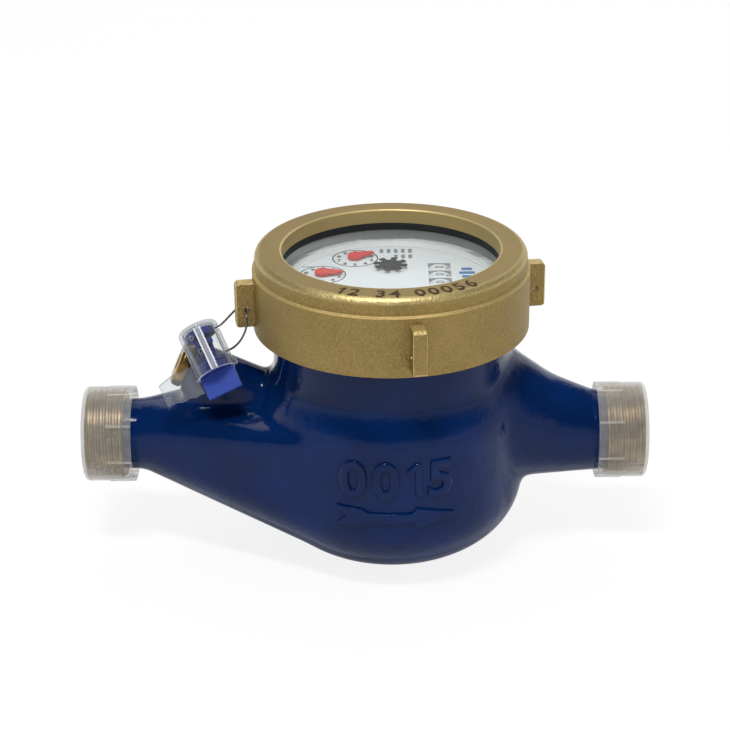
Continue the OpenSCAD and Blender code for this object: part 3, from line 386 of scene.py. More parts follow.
@dataclass(frozen=True)
class Clear(Finish):
    """Clear plastic or glass: see-through face on, tinted and glossy at its edges."""

    body: float = 0.04
    edge: float = 0.6
    sharp: float = 2.5
    rough: float = 0.06
    shine: float = 0.5
    shine_sharp: float = 5.0
    shine_least: float = 0.06
    passing: Colour = (0.97, 0.98, 0.98)
    haze: float = 3 * MM
    haze_share: float = 0.02
    grazing: float = 0.5

    def shader(self, net: Net) -> Sock:
        """Build a transparent skin that turns solid at a grazing angle, under a glossy surface."""
        facing = net.facing(self.grazing)
        solid = net.node("ShaderNodeBsdfDiffuse", sockets={"Color": self.tint})
        through = net.node("ShaderNodeBsdfTransparent", sockets={"Color": self.passing})
        haze = net.noise(self.haze, 2) * self.haze_share
        skin = net.mixed(facing**self.sharp * self.edge + self.body + haze, through, solid)
        gloss = net.node("ShaderNodeBsdfGlossy", sockets={"Roughness": self.rough})
        share = facing**self.shine_sharp * self.shine + self.shine_least * self.shine
        return net.mixed(share, skin, gloss)


@dataclass(frozen=True)
class Milky(Finish):
    """Thin milky plastic that lets the thread show through."""

    body: float = 0.19
    edge: float = 0.5
    sharp: float = 1.8
    grazing: float = 0.4
    rough: float = 0.26
    gloss: float = 0.35
    shade: float = 0.9
    cloud: float = 7 * MM
    cloud_rough: float = 0.1
    cloud_body: float = 0.08
    ripple: float = 2.5 * MM
    ripple_depth: float = 0.03 * MM

    def shader(self, net: Net) -> Sock:
        """Build a cloudy, half clear skin."""
        cloud = net.noise(self.cloud)
        cloudy = net.facing(self.grazing) ** self.sharp * self.edge + cloud * self.cloud_body
        return net.surface(
            Base_Color=net.blend(cloud, dimmed(self.tint, self.shade), self.tint),
            Roughness=cloud * self.cloud_rough + self.rough,
            Specular_IOR_Level=self.gloss,
            Alpha=cloudy + (self.body - self.cloud_body / 2),
            Normal=net.bump(net.noise(self.ripple, 2), self.ripple_depth),
        )


@cache
def dress(finish: Finish) -> bpy.types.Material:
    """Material of a finish, built once."""
    return finish.material()


BLUE_PAINT = Paint("blue_enamel", "blue_paint", rgb(3, 38, 92))
CAST_BRASS = CastBrass("cast_brass", "cast_brass", rgb(164, 141, 86))
# A lighter copy of the cast brass, painted highlight on the ring's upward faces and outer edges.
HIGHLIGHT_BRASS = CastBrass("worn_brass", "cast_brass", rgb(222, 198, 138), rgb(184, 160, 104))
BRIGHT_BRASS = TurnedBrass("turned_brass", "turned_brass", rgb(186, 152, 84))
PIPE_BRASS = TurnedBrass("pipe_brass", "turned_brass", rgb(166, 142, 104), rgb(116, 99, 72), 0.34)
BORE_BRASS = TurnedBrass("bore_brass", "turned_brass", rgb(150, 116, 60))
ENGRAVING = Plastic("engraving", "cast_brass", rgb(70, 50, 22), rough=0.7, metal=0.3)
WINDOW = Clear(
    "window_glass", "window", rgb(235, 240, 240), body=0.0, edge=0.12, sharp=5.0, rough=0.03, shine=0.25
)
CLEAR_PLASTIC = Clear("clear_plastic", "clear_plastic", rgb(172, 178, 186), body=0.02, edge=0.8, sharp=2.6)
FLAG_PLASTIC = Clear("flag_plastic", "clear_plastic", rgb(170, 173, 176), body=0.14, edge=0.4)
GLEAM = Milky("plastic_gleam", "clear_plastic", rgb(240, 242, 248), body=0.18, edge=0.2)
# Grey, painted shade on the flag's edges and the side ribs.
PLASTIC_SHADE = Milky("plastic_edge", "clear_plastic", rgb(140, 144, 150), body=0.7, edge=0.3)
# White, painted highlight on the middle ribs and the housing's mouth.
PLASTIC_HIGHLIGHT = Milky("plastic_rib", "clear_plastic", rgb(250, 250, 252), body=0.7, edge=0.2)
MILKY_PLASTIC = Milky("milky_plastic", "milky_plastic", rgb(196, 192, 184), body=0.15, edge=0.6)
CAP_END = Milky("cap_end", "milky_plastic", rgb(216, 214, 208), body=0.4, edge=0.35)
CAP_RIB = Milky("cap_rib", "milky_plastic", rgb(230, 228, 222), body=0.3, edge=0.35)
BLACK_RUBBER = Plastic("black_rubber", "black_rubber", rgb(26, 28, 31), rough=0.6, depth=0.03 * MM)
WHITE_PLASTIC = Plastic("white_plastic", "white_plastic", rgb(216, 219, 221), rough=0.45, mottle=0.05)
BOWL_PLASTIC = Plastic("bowl_plastic", "white_plastic", rgb(214, 216, 215), rough=0.45, mottle=0.04)
# A darker copy of the bowl's white, painted shade on the ledge under the window's edge.
BOWL_LEDGE_SHADE = Plastic("bowl_ledge", "white_plastic", rgb(196, 199, 198), rough=0.5, mottle=0.06)
IVORY_PLASTIC = Plastic("ivory_plastic", "ivory_plastic", rgb(222, 214, 188), rough=0.5)
GREY_PLASTIC = Plastic("grey_plastic", "grey_plastic", rgb(128, 131, 134), rough=0.5)
# A grey copy of the dial's white, painted shade on the walls of the number windows.
WINDOW_WALL_SHADE = Plastic("window_wall", "white_plastic", rgb(176, 178, 178), rough=0.5)
DARK_PLASTIC = Plastic("dark_plastic", "dark_plastic", rgb(20, 24, 28), rough=0.6, gloss=0.1)
RED_PLASTIC = Plastic("red_plastic", "red_plastic", rgb(214, 52, 48), rough=0.4)
BLUE_PLASTIC = Plastic("blue_plastic", "blue_plastic", rgb(48, 72, 156), rough=0.36)
# A darker copy of the rotor's blue, painted shade inside the clear housing.
ROTOR_SHADE_BLUE = Plastic("deep_blue", "blue_plastic", rgb(36, 50, 128), rough=0.4)
GEAR_PLASTIC = Plastic("gear_plastic", "gear_plastic", rgb(226, 205, 150), rough=0.45)
WIRE = Plastic("seal_wire", "steel", rgb(112, 112, 110), rough=0.34, mottle=0.3, metal=0.9)
STEEL = Plastic("steel", "steel", rgb(176, 178, 180), rough=0.32, mottle=0.25, metal=1.0)
MAGNET = Plastic("magnet", "magnet", rgb(58, 56, 54), rough=0.5, metal=0.4)
JEWEL = Plastic("jewel", "jewel", rgb(150, 30, 52), rough=0.15)
BLACK_INK = Plastic("black_ink", "dark_plastic", rgb(46, 48, 52), rough=0.7, mottle=0.3)
GREY_INK = Plastic("grey_ink", "grey_plastic", rgb(128, 132, 136), rough=0.7, mottle=0.3)
BLUE_INK = Plastic("blue_ink", "blue_plastic", rgb(36, 118, 176), rough=0.7, mottle=0.25)


def arc(centre: Point, radius: float, start: float, end: float, steps: int = 6) -> list[Point]:
    """Points of an arc from a first angle to a last one, in degrees, in this many chords."""
    angles = [math.radians(start + (end - start) * i / steps) for i in range(steps + 1)]
    return [(centre[0] + radius * math.cos(a), centre[1] + radius * math.sin(a)) for a in angles]


def oblong(low_x: float, low_y: float, high_x: float, high_y: float) -> list[Point]:
    """Corners of a rectangle between its lowest and highest places."""
    return [(low_x, low_y), (high_x, low_y), (high_x, high_y), (low_x, high_y)]


def ring_points(steps: int) -> list[float]:
    """Evenly spaced angles of a full turn, in radians."""
    return [math.tau * i / steps for i in range(steps)]


def swept(outline: Sequence[Point], steps: int, rise: float = 0.0) -> BMesh:
    """Sweep an outline of radius and height once about Z.

    Args:
        outline: Points of the section, in millimetres.
        steps: Number of facets round the turn.
        rise: Climb over the turn, in millimetres. Without it the section is closed and the turn joins up.

    Returns:
        The swept skin.
    """
    bm = bmesh.new()
    verts = [bm.verts.new((r * MM, 0, z * MM)) for r, z in outline]
    ends = verts[1:] if rise else verts[1:] + verts[:1]
    edges = [bm.edges.new(pair) for pair in zip(verts, ends)]
    bmesh.ops.spin(
        bm,
        geom=verts + edges,
        axis=(0, 0, 1),
        cent=(0, 0, 0),
        dvec=(0, 0, rise * MM / steps),
        angle=math.tau,
        steps=steps,
        use_merge=not rise,
    )
    return bm


def turned(outline: Sequence[Point], steps: int) -> BMesh:
    """Turned solid of an outline of radius and height, in millimetres, about Z."""
    return welded(swept(outline, steps))


def welded(bm: BMesh) -> BMesh:
    """Merge doubles and turn every face outwards."""
    bmesh.ops.remove_doubles(bm, verts=bm.verts, dist=WELD)
    bmesh.ops.recalc_face_normals(bm, faces=bm.faces)
    return bm


def of_kind(parts: Iterable, kind: type) -> list:
    """Those of an operator's results that are of a kind."""
    return [part for part in parts if isinstance(part, kind)]


def open_edges(bm: BMesh) -> list[bmesh.types.BMEdge]:
    """Edges at which a mesh is open."""
    return [edge for edge in bm.edges if edge.is_boundary]


def bridged(bm: BMesh) -> BMesh:
    """Close the wall between two open loops."""
    bmesh.ops.bridge_loops(bm, edges=open_edges(bm))
    return bm


def parted(bm: BMesh, place: Vector, normal: Vector, clear: bool = False) -> None:
    """Cut a mesh by a plane and, if asked, clear what lies on the normal's side."""
    bmesh.ops.bisect_plane(
        bm,
        geom=bm.verts[:] + bm.edges[:] + bm.faces[:],
        dist=WELD,
        plane_co=place,
        plane_no=normal,
        clear_outer=clear,
    )


def prism(outline: Sequence[Point], thickness: float) -> BMesh:
    """Extrude a flat outline in X and Y, in millimetres, upwards from Z 0."""
    bm = bmesh.new()
    face = bm.faces.new([bm.verts.new((x * MM, y * MM, 0)) for x, y in outline])
    grown = bmesh.ops.extrude_face_region(bm, geom=[face])["geom"]
    tops = of_kind(grown, bmesh.types.BMVert)
    bmesh.ops.translate(bm, verts=tops, vec=(0, 0, thickness * MM))
    return welded(bm)


def rod(radius: float, length: float, matrix: Matrix, segments: int) -> BMesh:
    """Solid cylinder about Z of a frame, centred on it, with its sizes in millimetres."""
    bm = bmesh.new()
    bmesh.ops.create_cone(
        bm,
        cap_ends=True,
        segments=segments,
        radius1=radius * MM,
        radius2=radius * MM,
        depth=length * MM,
        matrix=matrix,
    )
    return bm


def soften(bm: BMesh, width: float, segments: int = 2, sharper: float = 30.0) -> BMesh:
    """Round the sharp edges.

    Args:
        bm: The solid.
        width: Width of the rounding, in millimetres.
        segments: Facets across it.
        sharper: Edges that bend more than this many degrees are rounded.

    Returns:
        The same solid.
    """
    limit = math.radians(sharper)
    edges = [edge for edge in bm.edges if edge.is_manifold and edge.calc_face_angle(0) > limit]
    bmesh.ops.bevel(
        bm,
        geom=edges,
        offset=width * MM,
        offset_type="OFFSET",
        affect="EDGES",
        segments=segments,
        profile=0.5,
        clamp_overlap=True,
        material=-1,
    )
    return bm


def moved(bm: BMesh, matrix: Matrix) -> BMesh:
    """Put a mesh in place by a matrix."""
    bmesh.ops.transform(bm, matrix=matrix, verts=bm.verts)
    return bm


def spun(degrees: float, axis: str = "Z") -> Matrix:
    """Rotation about an axis, in degrees."""
    return Matrix.Rotation(math.radians(degrees), 4, axis)


def shifted(x: float, y: float, z: float) -> Matrix:
    """Translation in millimetres."""
    return Matrix.Translation(Vector((x, y, z)) * MM)


def meshed(bm: BMesh, name: str) -> bpy.types.Mesh:
    """Turn a working mesh into mesh data, and free it."""
    mesh = bpy.data.meshes.new(name)
    bm.to_mesh(mesh)
    bm.free()
    return mesh


def taken(mesh: bpy.types.Mesh) -> BMesh:
    """Turn mesh data into a working mesh, and remove it."""
    bm = bmesh.new()
    bm.from_mesh(mesh)
    bpy.data.meshes.remove(mesh)
    return bm


def linked(name: str, data: bpy.types.ID) -> bpy.types.Object:
    """New object in the scene."""
    made = bpy.data.objects.new(name, data)
    bpy.context.collection.objects.link(made)
    return made


def dropped(holder: bpy.types.Object) -> None:
    """Remove a working object with its mesh data."""
    mesh = holder.data
    bpy.data.objects.remove(holder)
    bpy.data.meshes.remove(mesh)


def gathered(parts: Iterable[BMesh]) -> BMesh:
    """Put several meshes into one, and free them."""
    whole = bmesh.new()
    for part in parts:
        mesh = meshed(part, "part")
        whole.from_mesh(mesh)
        bpy.data.meshes.remove(mesh)
    return whole


def marked(bm: BMesh, choose: Chooser) -> BMesh:
    """Set the number of each face's material by its centre, in millimetres, and its normal."""
    bm.normal_update()
    for face in bm.faces:
        face.material_index = choose(face.calc_center_median() / MM, face.normal)
    return bm


def copied(node: str) -> BMesh:
    """Merged copy of a construction node's mesh."""
    bm = bmesh.new()
    bm.from_mesh(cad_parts[node].data)
    bmesh.ops.remove_doubles(bm, verts=bm.verts, dist=WELD)
    return bm


def settled(bm: BMesh, add_modifiers: Callable[[bpy.types.Object], None]) -> BMesh:
    """Run modifiers over a mesh.

    Args:
        bm: The mesh, which is freed.
        add_modifiers: Adds the modifiers to the object that holds the mesh.

    Returns:
        The mesh that the modifiers give.
    """
    holder = linked("work", meshed(bm, "work"))
    add_modifiers(holder)
    depsgraph = bpy.context.evaluated_depsgraph_get()
    result = bpy.data.meshes.new_from_object(holder.evaluated_get(depsgraph))
    dropped(holder)
    return taken(result)


def combined(base: BMesh, tool: BMesh, cut: Cut) -> BMesh:
    """Join a solid to another, or take one away from another."""
    holder = linked("tool", meshed(tool, "tool"))

    def add(target: bpy.types.Object) -> None:
        """Add the boolean to the target."""
        boolean = target.modifiers.new("cut", "BOOLEAN")
        boolean.operation = cut.value
        boolean.solver = "EXACT"
        boolean.object = holder

    made = settled(base, add)
    dropped(holder)
    return made


FIGURE_SHARE = 0.69
ONE = ((0.02, 0.0), (0.16, 0.0), (0.16, 1.0), (0.05, 1.0), (-0.2, 0.8), (-0.2, 0.65), (0.02, 0.78))


def sliced(bm: BMesh, axis: int, step: float) -> BMesh:
    """Cut a mesh across the axis of this number at even steps, in millimetres, so that it can bend."""
    places = [vert.co[axis] for vert in bm.verts]
    count = int((max(places) - min(places)) / (step * MM))
    normal = Vector([float(i == axis) for i in range(3)])
    for i in range(1, count + 1):
        parted(bm, normal * (min(places) + i * step * MM), normal)
    return bm


def figures(text: str, height: float, thick: float, round_edge: float = 0.0, bold: float = 0.0) -> BMesh:
    """Plain figures as solids, centred in X, with their foot at Y 0 and their middle plane at Z 0.

    Args:
        text: The figures; a one by itself is drawn with its flag.
        height: Their height, in millimetres.
        thick: Their thickness, in millimetres.
        round_edge: Rounding of their edges, in millimetres.
        bold: Growth of their outline, in millimetres.

    Returns:
        The solids, as one mesh.
    """
    if text == "1":
        stem = prism([(x * height + bold * (1 if x > 0.1 else -1), y * height) for x, y in ONE], thick)
        moved(stem, shifted(0, 0, -thick / 2))
        return soften(stem, round_edge, sharper=CRISP) if round_edge else stem
    curve = bpy.data.curves.new("figures", "FONT")
    curve.body = text
    curve.size = height * MM / FIGURE_SHARE
    curve.align_x = "CENTER"
    curve.extrude = (thick / 2 - round_edge) * MM
    curve.bevel_depth = round_edge * MM
    curve.bevel_resolution = 4
    curve.offset = (bold - round_edge / 2) * MM
    curve.resolution_u = 4
    holder = linked("figures", curve)
    mesh = bpy.data.meshes.new_from_object(holder)
    bpy.data.objects.remove(holder)
    bpy.data.curves.remove(curve)
    return welded(taken(mesh))


def piece(
    name: str,
    bm: BMesh,
    finish: Finish,
    body: str = ROOT_BODY,
    replaced: Sequence[str] = (),
    smooth_to: float = 38.0,
    more: Sequence[Finish] = (),
) -> bpy.types.Object:
    """Make a finished piece of a mesh.

    Args:
        name: Name of the piece.
        bm: Its mesh, in place; it is freed.
        finish: Its finish.
        body: Body that it rides on.
        replaced: Construction nodes that it stands for.
        smooth_to: Edges that bend less than this many degrees are shaded smooth.
        more: Finishes of its further material slots.

    Returns:
        The piece.
    """
    mesh = meshed(bm, name)
    for each in (finish, *more):
        mesh.materials.append(dress(each))
    mesh.shade_smooth()
    mesh.set_sharp_from_angle(angle=math.radians(smooth_to))
    made = linked(name, mesh)
    made.modifiers.new("even_shade", "WEIGHTED_NORMAL").keep_sharp = True
    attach(made, body)
    if replaced:
        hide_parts(*replaced)
    log.info("%s: %d faces, rides on %s", name, len(mesh.polygons), body)
    return made


def rounded(node: str, edge: float) -> BMesh:
    """Merged copy of a construction node with its sharp edges rounded by a width in millimetres."""
    bm = copied(node)
    if edge:
        bmesh.ops.dissolve_limit(bm, angle_limit=math.radians(0.5), verts=bm.verts, edges=bm.edges)
        soften(bm, edge)
    return bm


def refined(
    name: str, node: str, finish: Finish, body: str = ROOT_BODY, edge: float = 0.0
) -> bpy.types.Object:
    """Dress a smooth-shaded copy of a node in its place, its edges rounded by a width in millimetres."""
    return piece(name, rounded(node, edge), finish, body, [node])


@dataclass
class Casting:
    """Painted casting with its bare pipe ends and the relief on its front. Sizes are in millimetres."""

    pipe_z: float = 34.0
    thread_r: float = 13.1
    thread_len: float = 11.0
    thread_pitch: float = 1.8
    thread_depth: float = 0.5
    chamfer: float = 0.8
    bore_r: float = 7.5
    bare_play: float = 0.8
    bare_from: float = 40.0
    thread_facets: int = 96
    stub: float = 4.0
    cut_inset: float = 0.05
    voxel: float = 0.85
    smoothing: int = 22
    plug_x: float = 57.0
    plug_len: float = 5.0
    plug_r: float = 11.0
    plug_facets: int = 48
    neck_plug: Triple = (34.0, 66.0, 75.5)
    boss_plug_r: float = 6.5
    boss_plug_len: float = 9.0
    boss_plug_sink: float = 0.5
    figure_h: float = 10.6
    figure_foot: float = 32.3
    figure_round: float = 0.66
    figure_bold: float = 0.2
    figure_places: tuple[tuple[str, float], ...] = (("0", -11.4), ("0", -2.2), ("1", 6.2), ("5", 13.4))
    relief_h: float = 0.9
    relief_sink: float = 0.5
    arrow_x: float = 0.6
    arrow_z: float = 25.8
    arrow_step: float = 1.5
    arrow_round: float = 0.6
    in_front: float = 350.0
    skin: BVHTree | None = field(default=None, init=False)

    def __post_init__(self) -> None:
        """Take the casting's ends from the frame."""
        low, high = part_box("meter_body")
        self.end_x = {Flow.INLET: low.x / MM, Flow.OUTLET: high.x / MM}

    def shoulder(self, flow: Flow) -> float:
        """Place along X where a pipe thread starts."""
        return self.end_x[flow] - flow.value * self.thread_len

    def along(self, flow: Flow, x: float) -> Matrix:
        """Frame on the pipe axis at x, with its Z pointing out of that end."""
        return shifted(x, 0, self.pipe_z) @ spun(90 * flow.value, "Y")

    def cut_end(self, bm: BMesh, flow: Flow, inset: float = 0.0) -> None:
        """Cut an end off at its thread's shoulder, or this far behind it."""
        x = self.shoulder(flow) - flow.value * inset
        parted(bm, Vector((x, 0, 0)) * MM, Vector((flow.value, 0, 0)), True)

    def lengthen_end(self, bm: BMesh, flow: Flow) -> None:
        """Draw the open loops of a cut end out by the stub, so that smoothing leaves the neck straight."""
        grown = bmesh.ops.extrude_edge_only(bm, edges=open_edges(bm))["geom"]
        verts = of_kind(grown, bmesh.types.BMVert)
        bmesh.ops.translate(bm, verts=verts, vec=(flow.value * self.stub * MM, 0, 0))

    def plugs(self) -> list[BMesh]:
        """Solids that close the inner hollow, so that only the visible skin is left."""
        neck_r, low, high = self.neck_plug
        boss = Regulator().boss_frame() @ shifted(0, 0, -self.boss_plug_len / 2 - self.boss_plug_sink)
        sizes = [(self.plug_r, self.plug_len, self.along(flow, flow.value * self.plug_x)) for flow in Flow]
        sizes.append((neck_r, high - low, shifted(0, 0, (low + high) / 2)))
        sizes.append((self.boss_plug_r, self.boss_plug_len, boss))
        return [rod(radius, length, place, self.plug_facets) for radius, length, place in sizes]

    def painted_skin(self) -> BMesh:
        """Cast form with soft blends, from the construction's body.

        Returns:
            The outer skin with the pipe bores, cut at the thread shoulders.
        """
        bm = copied("meter_body")
        for flow in Flow:
            self.cut_end(bm, flow, self.cut_inset)
            self.lengthen_end(bm, flow)
            bridged(bm)
        bm = settled(gathered([bm, *self.plugs()]), self.remesh)
        for _ in range(self.smoothing):
            bmesh.ops.smooth_vert(
                bm, verts=bm.verts, factor=0.5, use_axis_x=True, use_axis_y=True, use_axis_z=True
            )
        for flow in Flow:
            self.cut_end(bm, flow)
            bridged(bm)
        return welded(bm)

    def remesh(self, holder: bpy.types.Object) -> None:
        """Add the remesh that fuses the forms."""
        modifier = holder.modifiers.new("fuse", "REMESH")
        modifier.mode = "VOXEL"
        modifier.voxel_size = self.voxel * MM

    def bare(self, centre: Vector, _: Vector) -> int:
        """One for the faces of the bores, which carry no paint."""
        away = math.hypot(centre.y, centre.z - self.pipe_z)
        return int(away < self.bore_r + self.bare_play and abs(centre.x) > self.bare_from)

    def build_skin(self) -> None:
        """Make the painted casting, bare in its bores."""
        bm = self.painted_skin()
        self.skin = BVHTree.FromBMesh(bm)
        marked(bm, self.bare)
        piece("painted_casting", bm, BLUE_PAINT, replaced=["meter_body"], smooth_to=SOFT, more=[BORE_BRASS])

    def thread(self) -> BMesh:
        """Helical pipe thread about Z, from 0 to its length, with the bore and a chamfered end.

        Returns:
            The bare pipe end.
        """
        pitch = self.thread_pitch
        root = self.thread_r - self.thread_depth
        turns = math.ceil(self.thread_len / pitch) + 2
        shape = [(0.0, root), (0.2, root), (0.45, self.thread_r), (0.65, self.thread_r), (0.9, root)]
        outline = [(r, (turn + share - 1.5) * pitch) for turn in range(turns) for share, r in shape]
        bm = swept(outline, self.thread_facets, pitch)
        bmesh.ops.remove_doubles(bm, verts=bm.verts, dist=WELD * 20)
        self.trim(bm, self.thread_len - self.chamfer, 1)
        self.trim(bm, 0, -1)
        return bm

    def trim(self, bm: BMesh, z: float, side: int) -> None:
        """Cut the helix square at a height and draw its open edge in to the bore."""
        parted(bm, Vector((0, 0, z * MM)), Vector((0, 0, side)), True)
        rim = [edge for edge in open_edges(bm) if all(abs(v.co.z - z * MM) < WELD * 5 for v in edge.verts)]
        stages = [(self.bore_r, z)]
        if side > 0:
            end_z = z + self.chamfer
            stages = [(self.thread_r - self.chamfer, end_z), (self.bore_r, end_z)]
        for radius, height in stages:
            grown = bmesh.ops.extrude_edge_only(bm, edges=rim)["geom"]
            rim = of_kind(grown, bmesh.types.BMEdge)
            for vert in of_kind(grown, bmesh.types.BMVert):
                reach = min(radius, math.hypot(vert.co.x, vert.co.y) / MM)
                flat = Vector((vert.co.x, vert.co.y, 0)).normalized() * reach * MM
                vert.co = flat + Vector((0, 0, height * MM))

    def build_pipe_end(self, flow: Flow) -> None:
        """Make the bare thread of one end."""
        bm = moved(welded(bridged(self.thread())), self.along(flow, self.shoulder(flow)))
        piece(f"{flow.name.lower()}_pipe_end", bm, PIPE_BRASS)

    def arrow(self) -> list[Point]:
        """Outline of the flow arrow, from its notched tail to its head."""
        upper = [(-17.0, 3.0), (-9.4, 2.5), (-7.4, 1.3), (5.4, 1.3), (5.8, 3.0), (17.0, 0.3)]
        lower = [(x, -y) for x, y in reversed(upper)]
        return upper + lower + [(-13.8, 0.0)]

    def on_skin(self, bm: BMesh) -> BMesh:
        """Lay a flat relief in X and Z, with its height towards -Y, on the casting's front."""
        for vert in bm.verts:
            start = Vector((vert.co.x, -self.in_front * MM, vert.co.z))
            vert.co.y += self.skin.ray_cast(start, Vector((0, 1, 0)))[0].y
        return bm

    def build_relief(self) -> None:
        """Make the cast figures and the flow arrow."""
        upright = spun(90, "X")
        thick = self.relief_h + self.relief_sink
        middle = (self.relief_sink - self.relief_h) / 2
        parts = []
        for text, x in self.figure_places:
            place = shifted(x, middle, self.figure_foot) @ upright
            figure = figures(text, self.figure_h, thick, self.figure_round, self.figure_bold)
            parts.append(moved(figure, place))
        arrow = sliced(soften(prism(self.arrow(), thick), self.arrow_round, 4), 0, self.arrow_step)
        parts.append(moved(arrow, shifted(self.arrow_x, middle + thick / 2, self.arrow_z) @ upright))
        piece("casting_relief", self.on_skin(gathered(parts)), BLUE_PAINT, smooth_to=SOFT)

    def build(self) -> None:
        """Make every piece of the casting."""
        self.build_skin()
        for flow in Flow:
            self.build_pipe_end(flow)
        self.build_relief()


@dataclass
class Regulator:
    """Boss of the flow regulator with its closing plug. Sizes are in millimetres and degrees."""

    boss_x: float = -60.2
    boss_z: float = 56.3
    tilt: float = 24.7

    def boss_frame(self) -> Matrix:
        """Frame at the boss end, with its Z pointing outwards."""
        return shifted(self.boss_x, 0, self.boss_z) @ spun(self.tilt - 90, "Y")

    def build(self) -> None:
        """Dress the plug."""
        refined("closing_plug", "regulator_plug", BRIGHT_BRASS, edge=0.25)


@dataclass
class RetainingRing:
    """Brass ring over the window, with its ears and figures. Sizes are in millimetres and degrees."""

    skirt_r: float = 40.2
    cap_r: float = 39.4
    inner_r: float = 36.5
    lip_r: float = 31.5
    step_z: float = 87.6
    step: float = 0.25
    round_r: float = 2.3
    lip_round: float = 0.55
    edge: float = 0.16
    ear_edge: float = 0.32
    edge_steps: int = 3
    edge_angle: float = 35.0
    facets: int = 192
    # Limits of the faces that take the painted highlight, in millimetres and as parts of their normals.
    worn_play: float = 0.1
    worn_step: float = 0.6
    worn_edge: float = 0.5
    ear_slope: float = 0.3
    step_slope: float = 0.2
    lip_slope: Point = (0.2, 0.99)
    edge_slope: Point = (0.3, 0.96)
    ear_turn: float = 9.5
    ear_count: int = 4
    ear_reach: float = 5.3
    ear_t: float = 4.0
    ear_low: float = 72.0
    ear_h: float = 13.4
    ear_round: float = 1.3
    ear_foot: float = 1.0
    ear_root: float = 2.0
    hole_r: float = 1.0
    hole_reach: float = 42.585
    hole_z: float = 77.3
    hole_facets: int = 32
    figure_h: float = 4.3
    figure_t: float = 0.3
    figure_bold: float = 0.13
    figure_step: float = 0.35
    figure_sink: float = 0.12
    figure_foot_r: float = 37.9
    figure_width: float = 6.15
    groups: tuple[tuple[str, float], ...] = (("12", -22.9), ("34", -5.0), ("00056", 12.2))

    def __post_init__(self) -> None:
        """Take the ring's heights from the frame."""
        low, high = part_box("retaining_ring")
        self.foot_z = low.z / MM
        self.top_z = high.z / MM
        self.lip_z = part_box("glass_gasket")[1].z / MM

    def band(self) -> BMesh:
        """Turned ring without its ears."""
        crown = arc((self.cap_r - self.round_r, self.top_z - self.round_r), self.round_r, 0, 90, 8)
        outline = [
            (self.inner_r, self.foot_z),
            (self.skirt_r, self.foot_z),
            (self.skirt_r, self.step_z - self.step),
            (self.cap_r, self.step_z),
            *crown,
            *arc((self.lip_r + self.lip_round, self.top_z - self.lip_round), self.lip_round, 90, 180, 5),
            (self.lip_r, self.lip_z),
            (self.inner_r, self.lip_z),
        ]
        return soften(turned(outline, self.facets), self.edge, self.edge_steps, self.edge_angle)

    def ear(self, turn: float) -> BMesh:
        """One sealing ear at this turn, with rounded corners."""
        reach = self.skirt_r + self.ear_reach
        inset = self.ear_round
        outline = [
            (self.skirt_r - self.ear_root, 0),
            *arc((reach - self.ear_foot, self.ear_foot), self.ear_foot, -90, 0, 5),
            *arc((reach - inset, self.ear_h - inset), inset, 0, 90, 5),
            (self.skirt_r - self.ear_root, self.ear_h),
        ]
        blank = soften(prism(outline, self.ear_t), self.ear_edge, self.edge_steps, self.edge_angle)
        return moved(blank, spun(turn) @ shifted(0, self.ear_t / 2, self.ear_low) @ spun(90, "X"))

    def hole(self, turn: float) -> BMesh:
        """Drill of one ear's wire hole."""
        place = spun(turn) @ shifted(self.hole_reach, 0, self.hole_z) @ spun(90, "X")
        return rod(self.hole_r, 2 * self.ear_t, place, self.hole_facets)

    def worn(self, centre: Vector, normal: Vector) -> int:
        """One for the faces that take the painted highlight: the upward faces of ears, step and lip edge, and
        the ears' outer edges.
        """
        reach = math.hypot(centre.x, centre.y)
        outward = (centre.x * normal.x + centre.y * normal.y) / reach
        by_step = reach > self.cap_r - self.worn_play and abs(centre.z - self.step_z) < self.worn_step
        by_edge = reach > self.skirt_r + self.ear_reach - self.worn_edge
        at_ear = reach > self.skirt_r + self.worn_play and normal.z > self.ear_slope
        at_step = by_step and normal.z > self.step_slope
        at_lip = reach < self.lip_r + self.lip_round and self.lip_slope[0] < normal.z < self.lip_slope[1]
        at_edge = by_edge and self.edge_slope[0] < outward < self.edge_slope[1]
        return int(at_ear or at_step or at_lip or at_edge)

    def build(self) -> None:
        """Make the ring and its figures."""
        ring = self.band()
        turns = [self.ear_turn + 360 * i / self.ear_count for i in range(self.ear_count)]
        for turn in turns:
            ring = combined(ring, self.ear(turn), Cut.JOIN)
        for turn in turns:
            ring = combined(ring, self.hole(turn), Cut.TAKE_AWAY)
        skin = BVHTree.FromBMesh(ring)
        # The upward faces and the ears' outer edges take the lighter brass as painted highlight.
        marked(ring, self.worn)
        piece("brass_ring", ring, CAST_BRASS, ROOT_BODY, ["retaining_ring"], self.edge_angle, [HIGHLIGHT_BRASS])
        parts = []
        for text, first in self.groups:
            for i, figure in enumerate(text):
                place = spun(first + i * self.figure_width) @ shifted(0, -self.figure_foot_r, 0)
                flat = figures(figure, self.figure_h, self.figure_t, bold=self.figure_bold)
                parts.append(moved(sliced(flat, 1, self.figure_step), place))
        marks = gathered(parts)
        for vert in marks.verts:
            start = Vector((vert.co.x, vert.co.y, 2 * self.top_z * MM))
            vert.co.z += skin.ray_cast(start, Vector((0, 0, -1)))[0].z - self.figure_sink * MM
        piece("ring_figures", marks, ENGRAVING, smooth_to=CRISP)


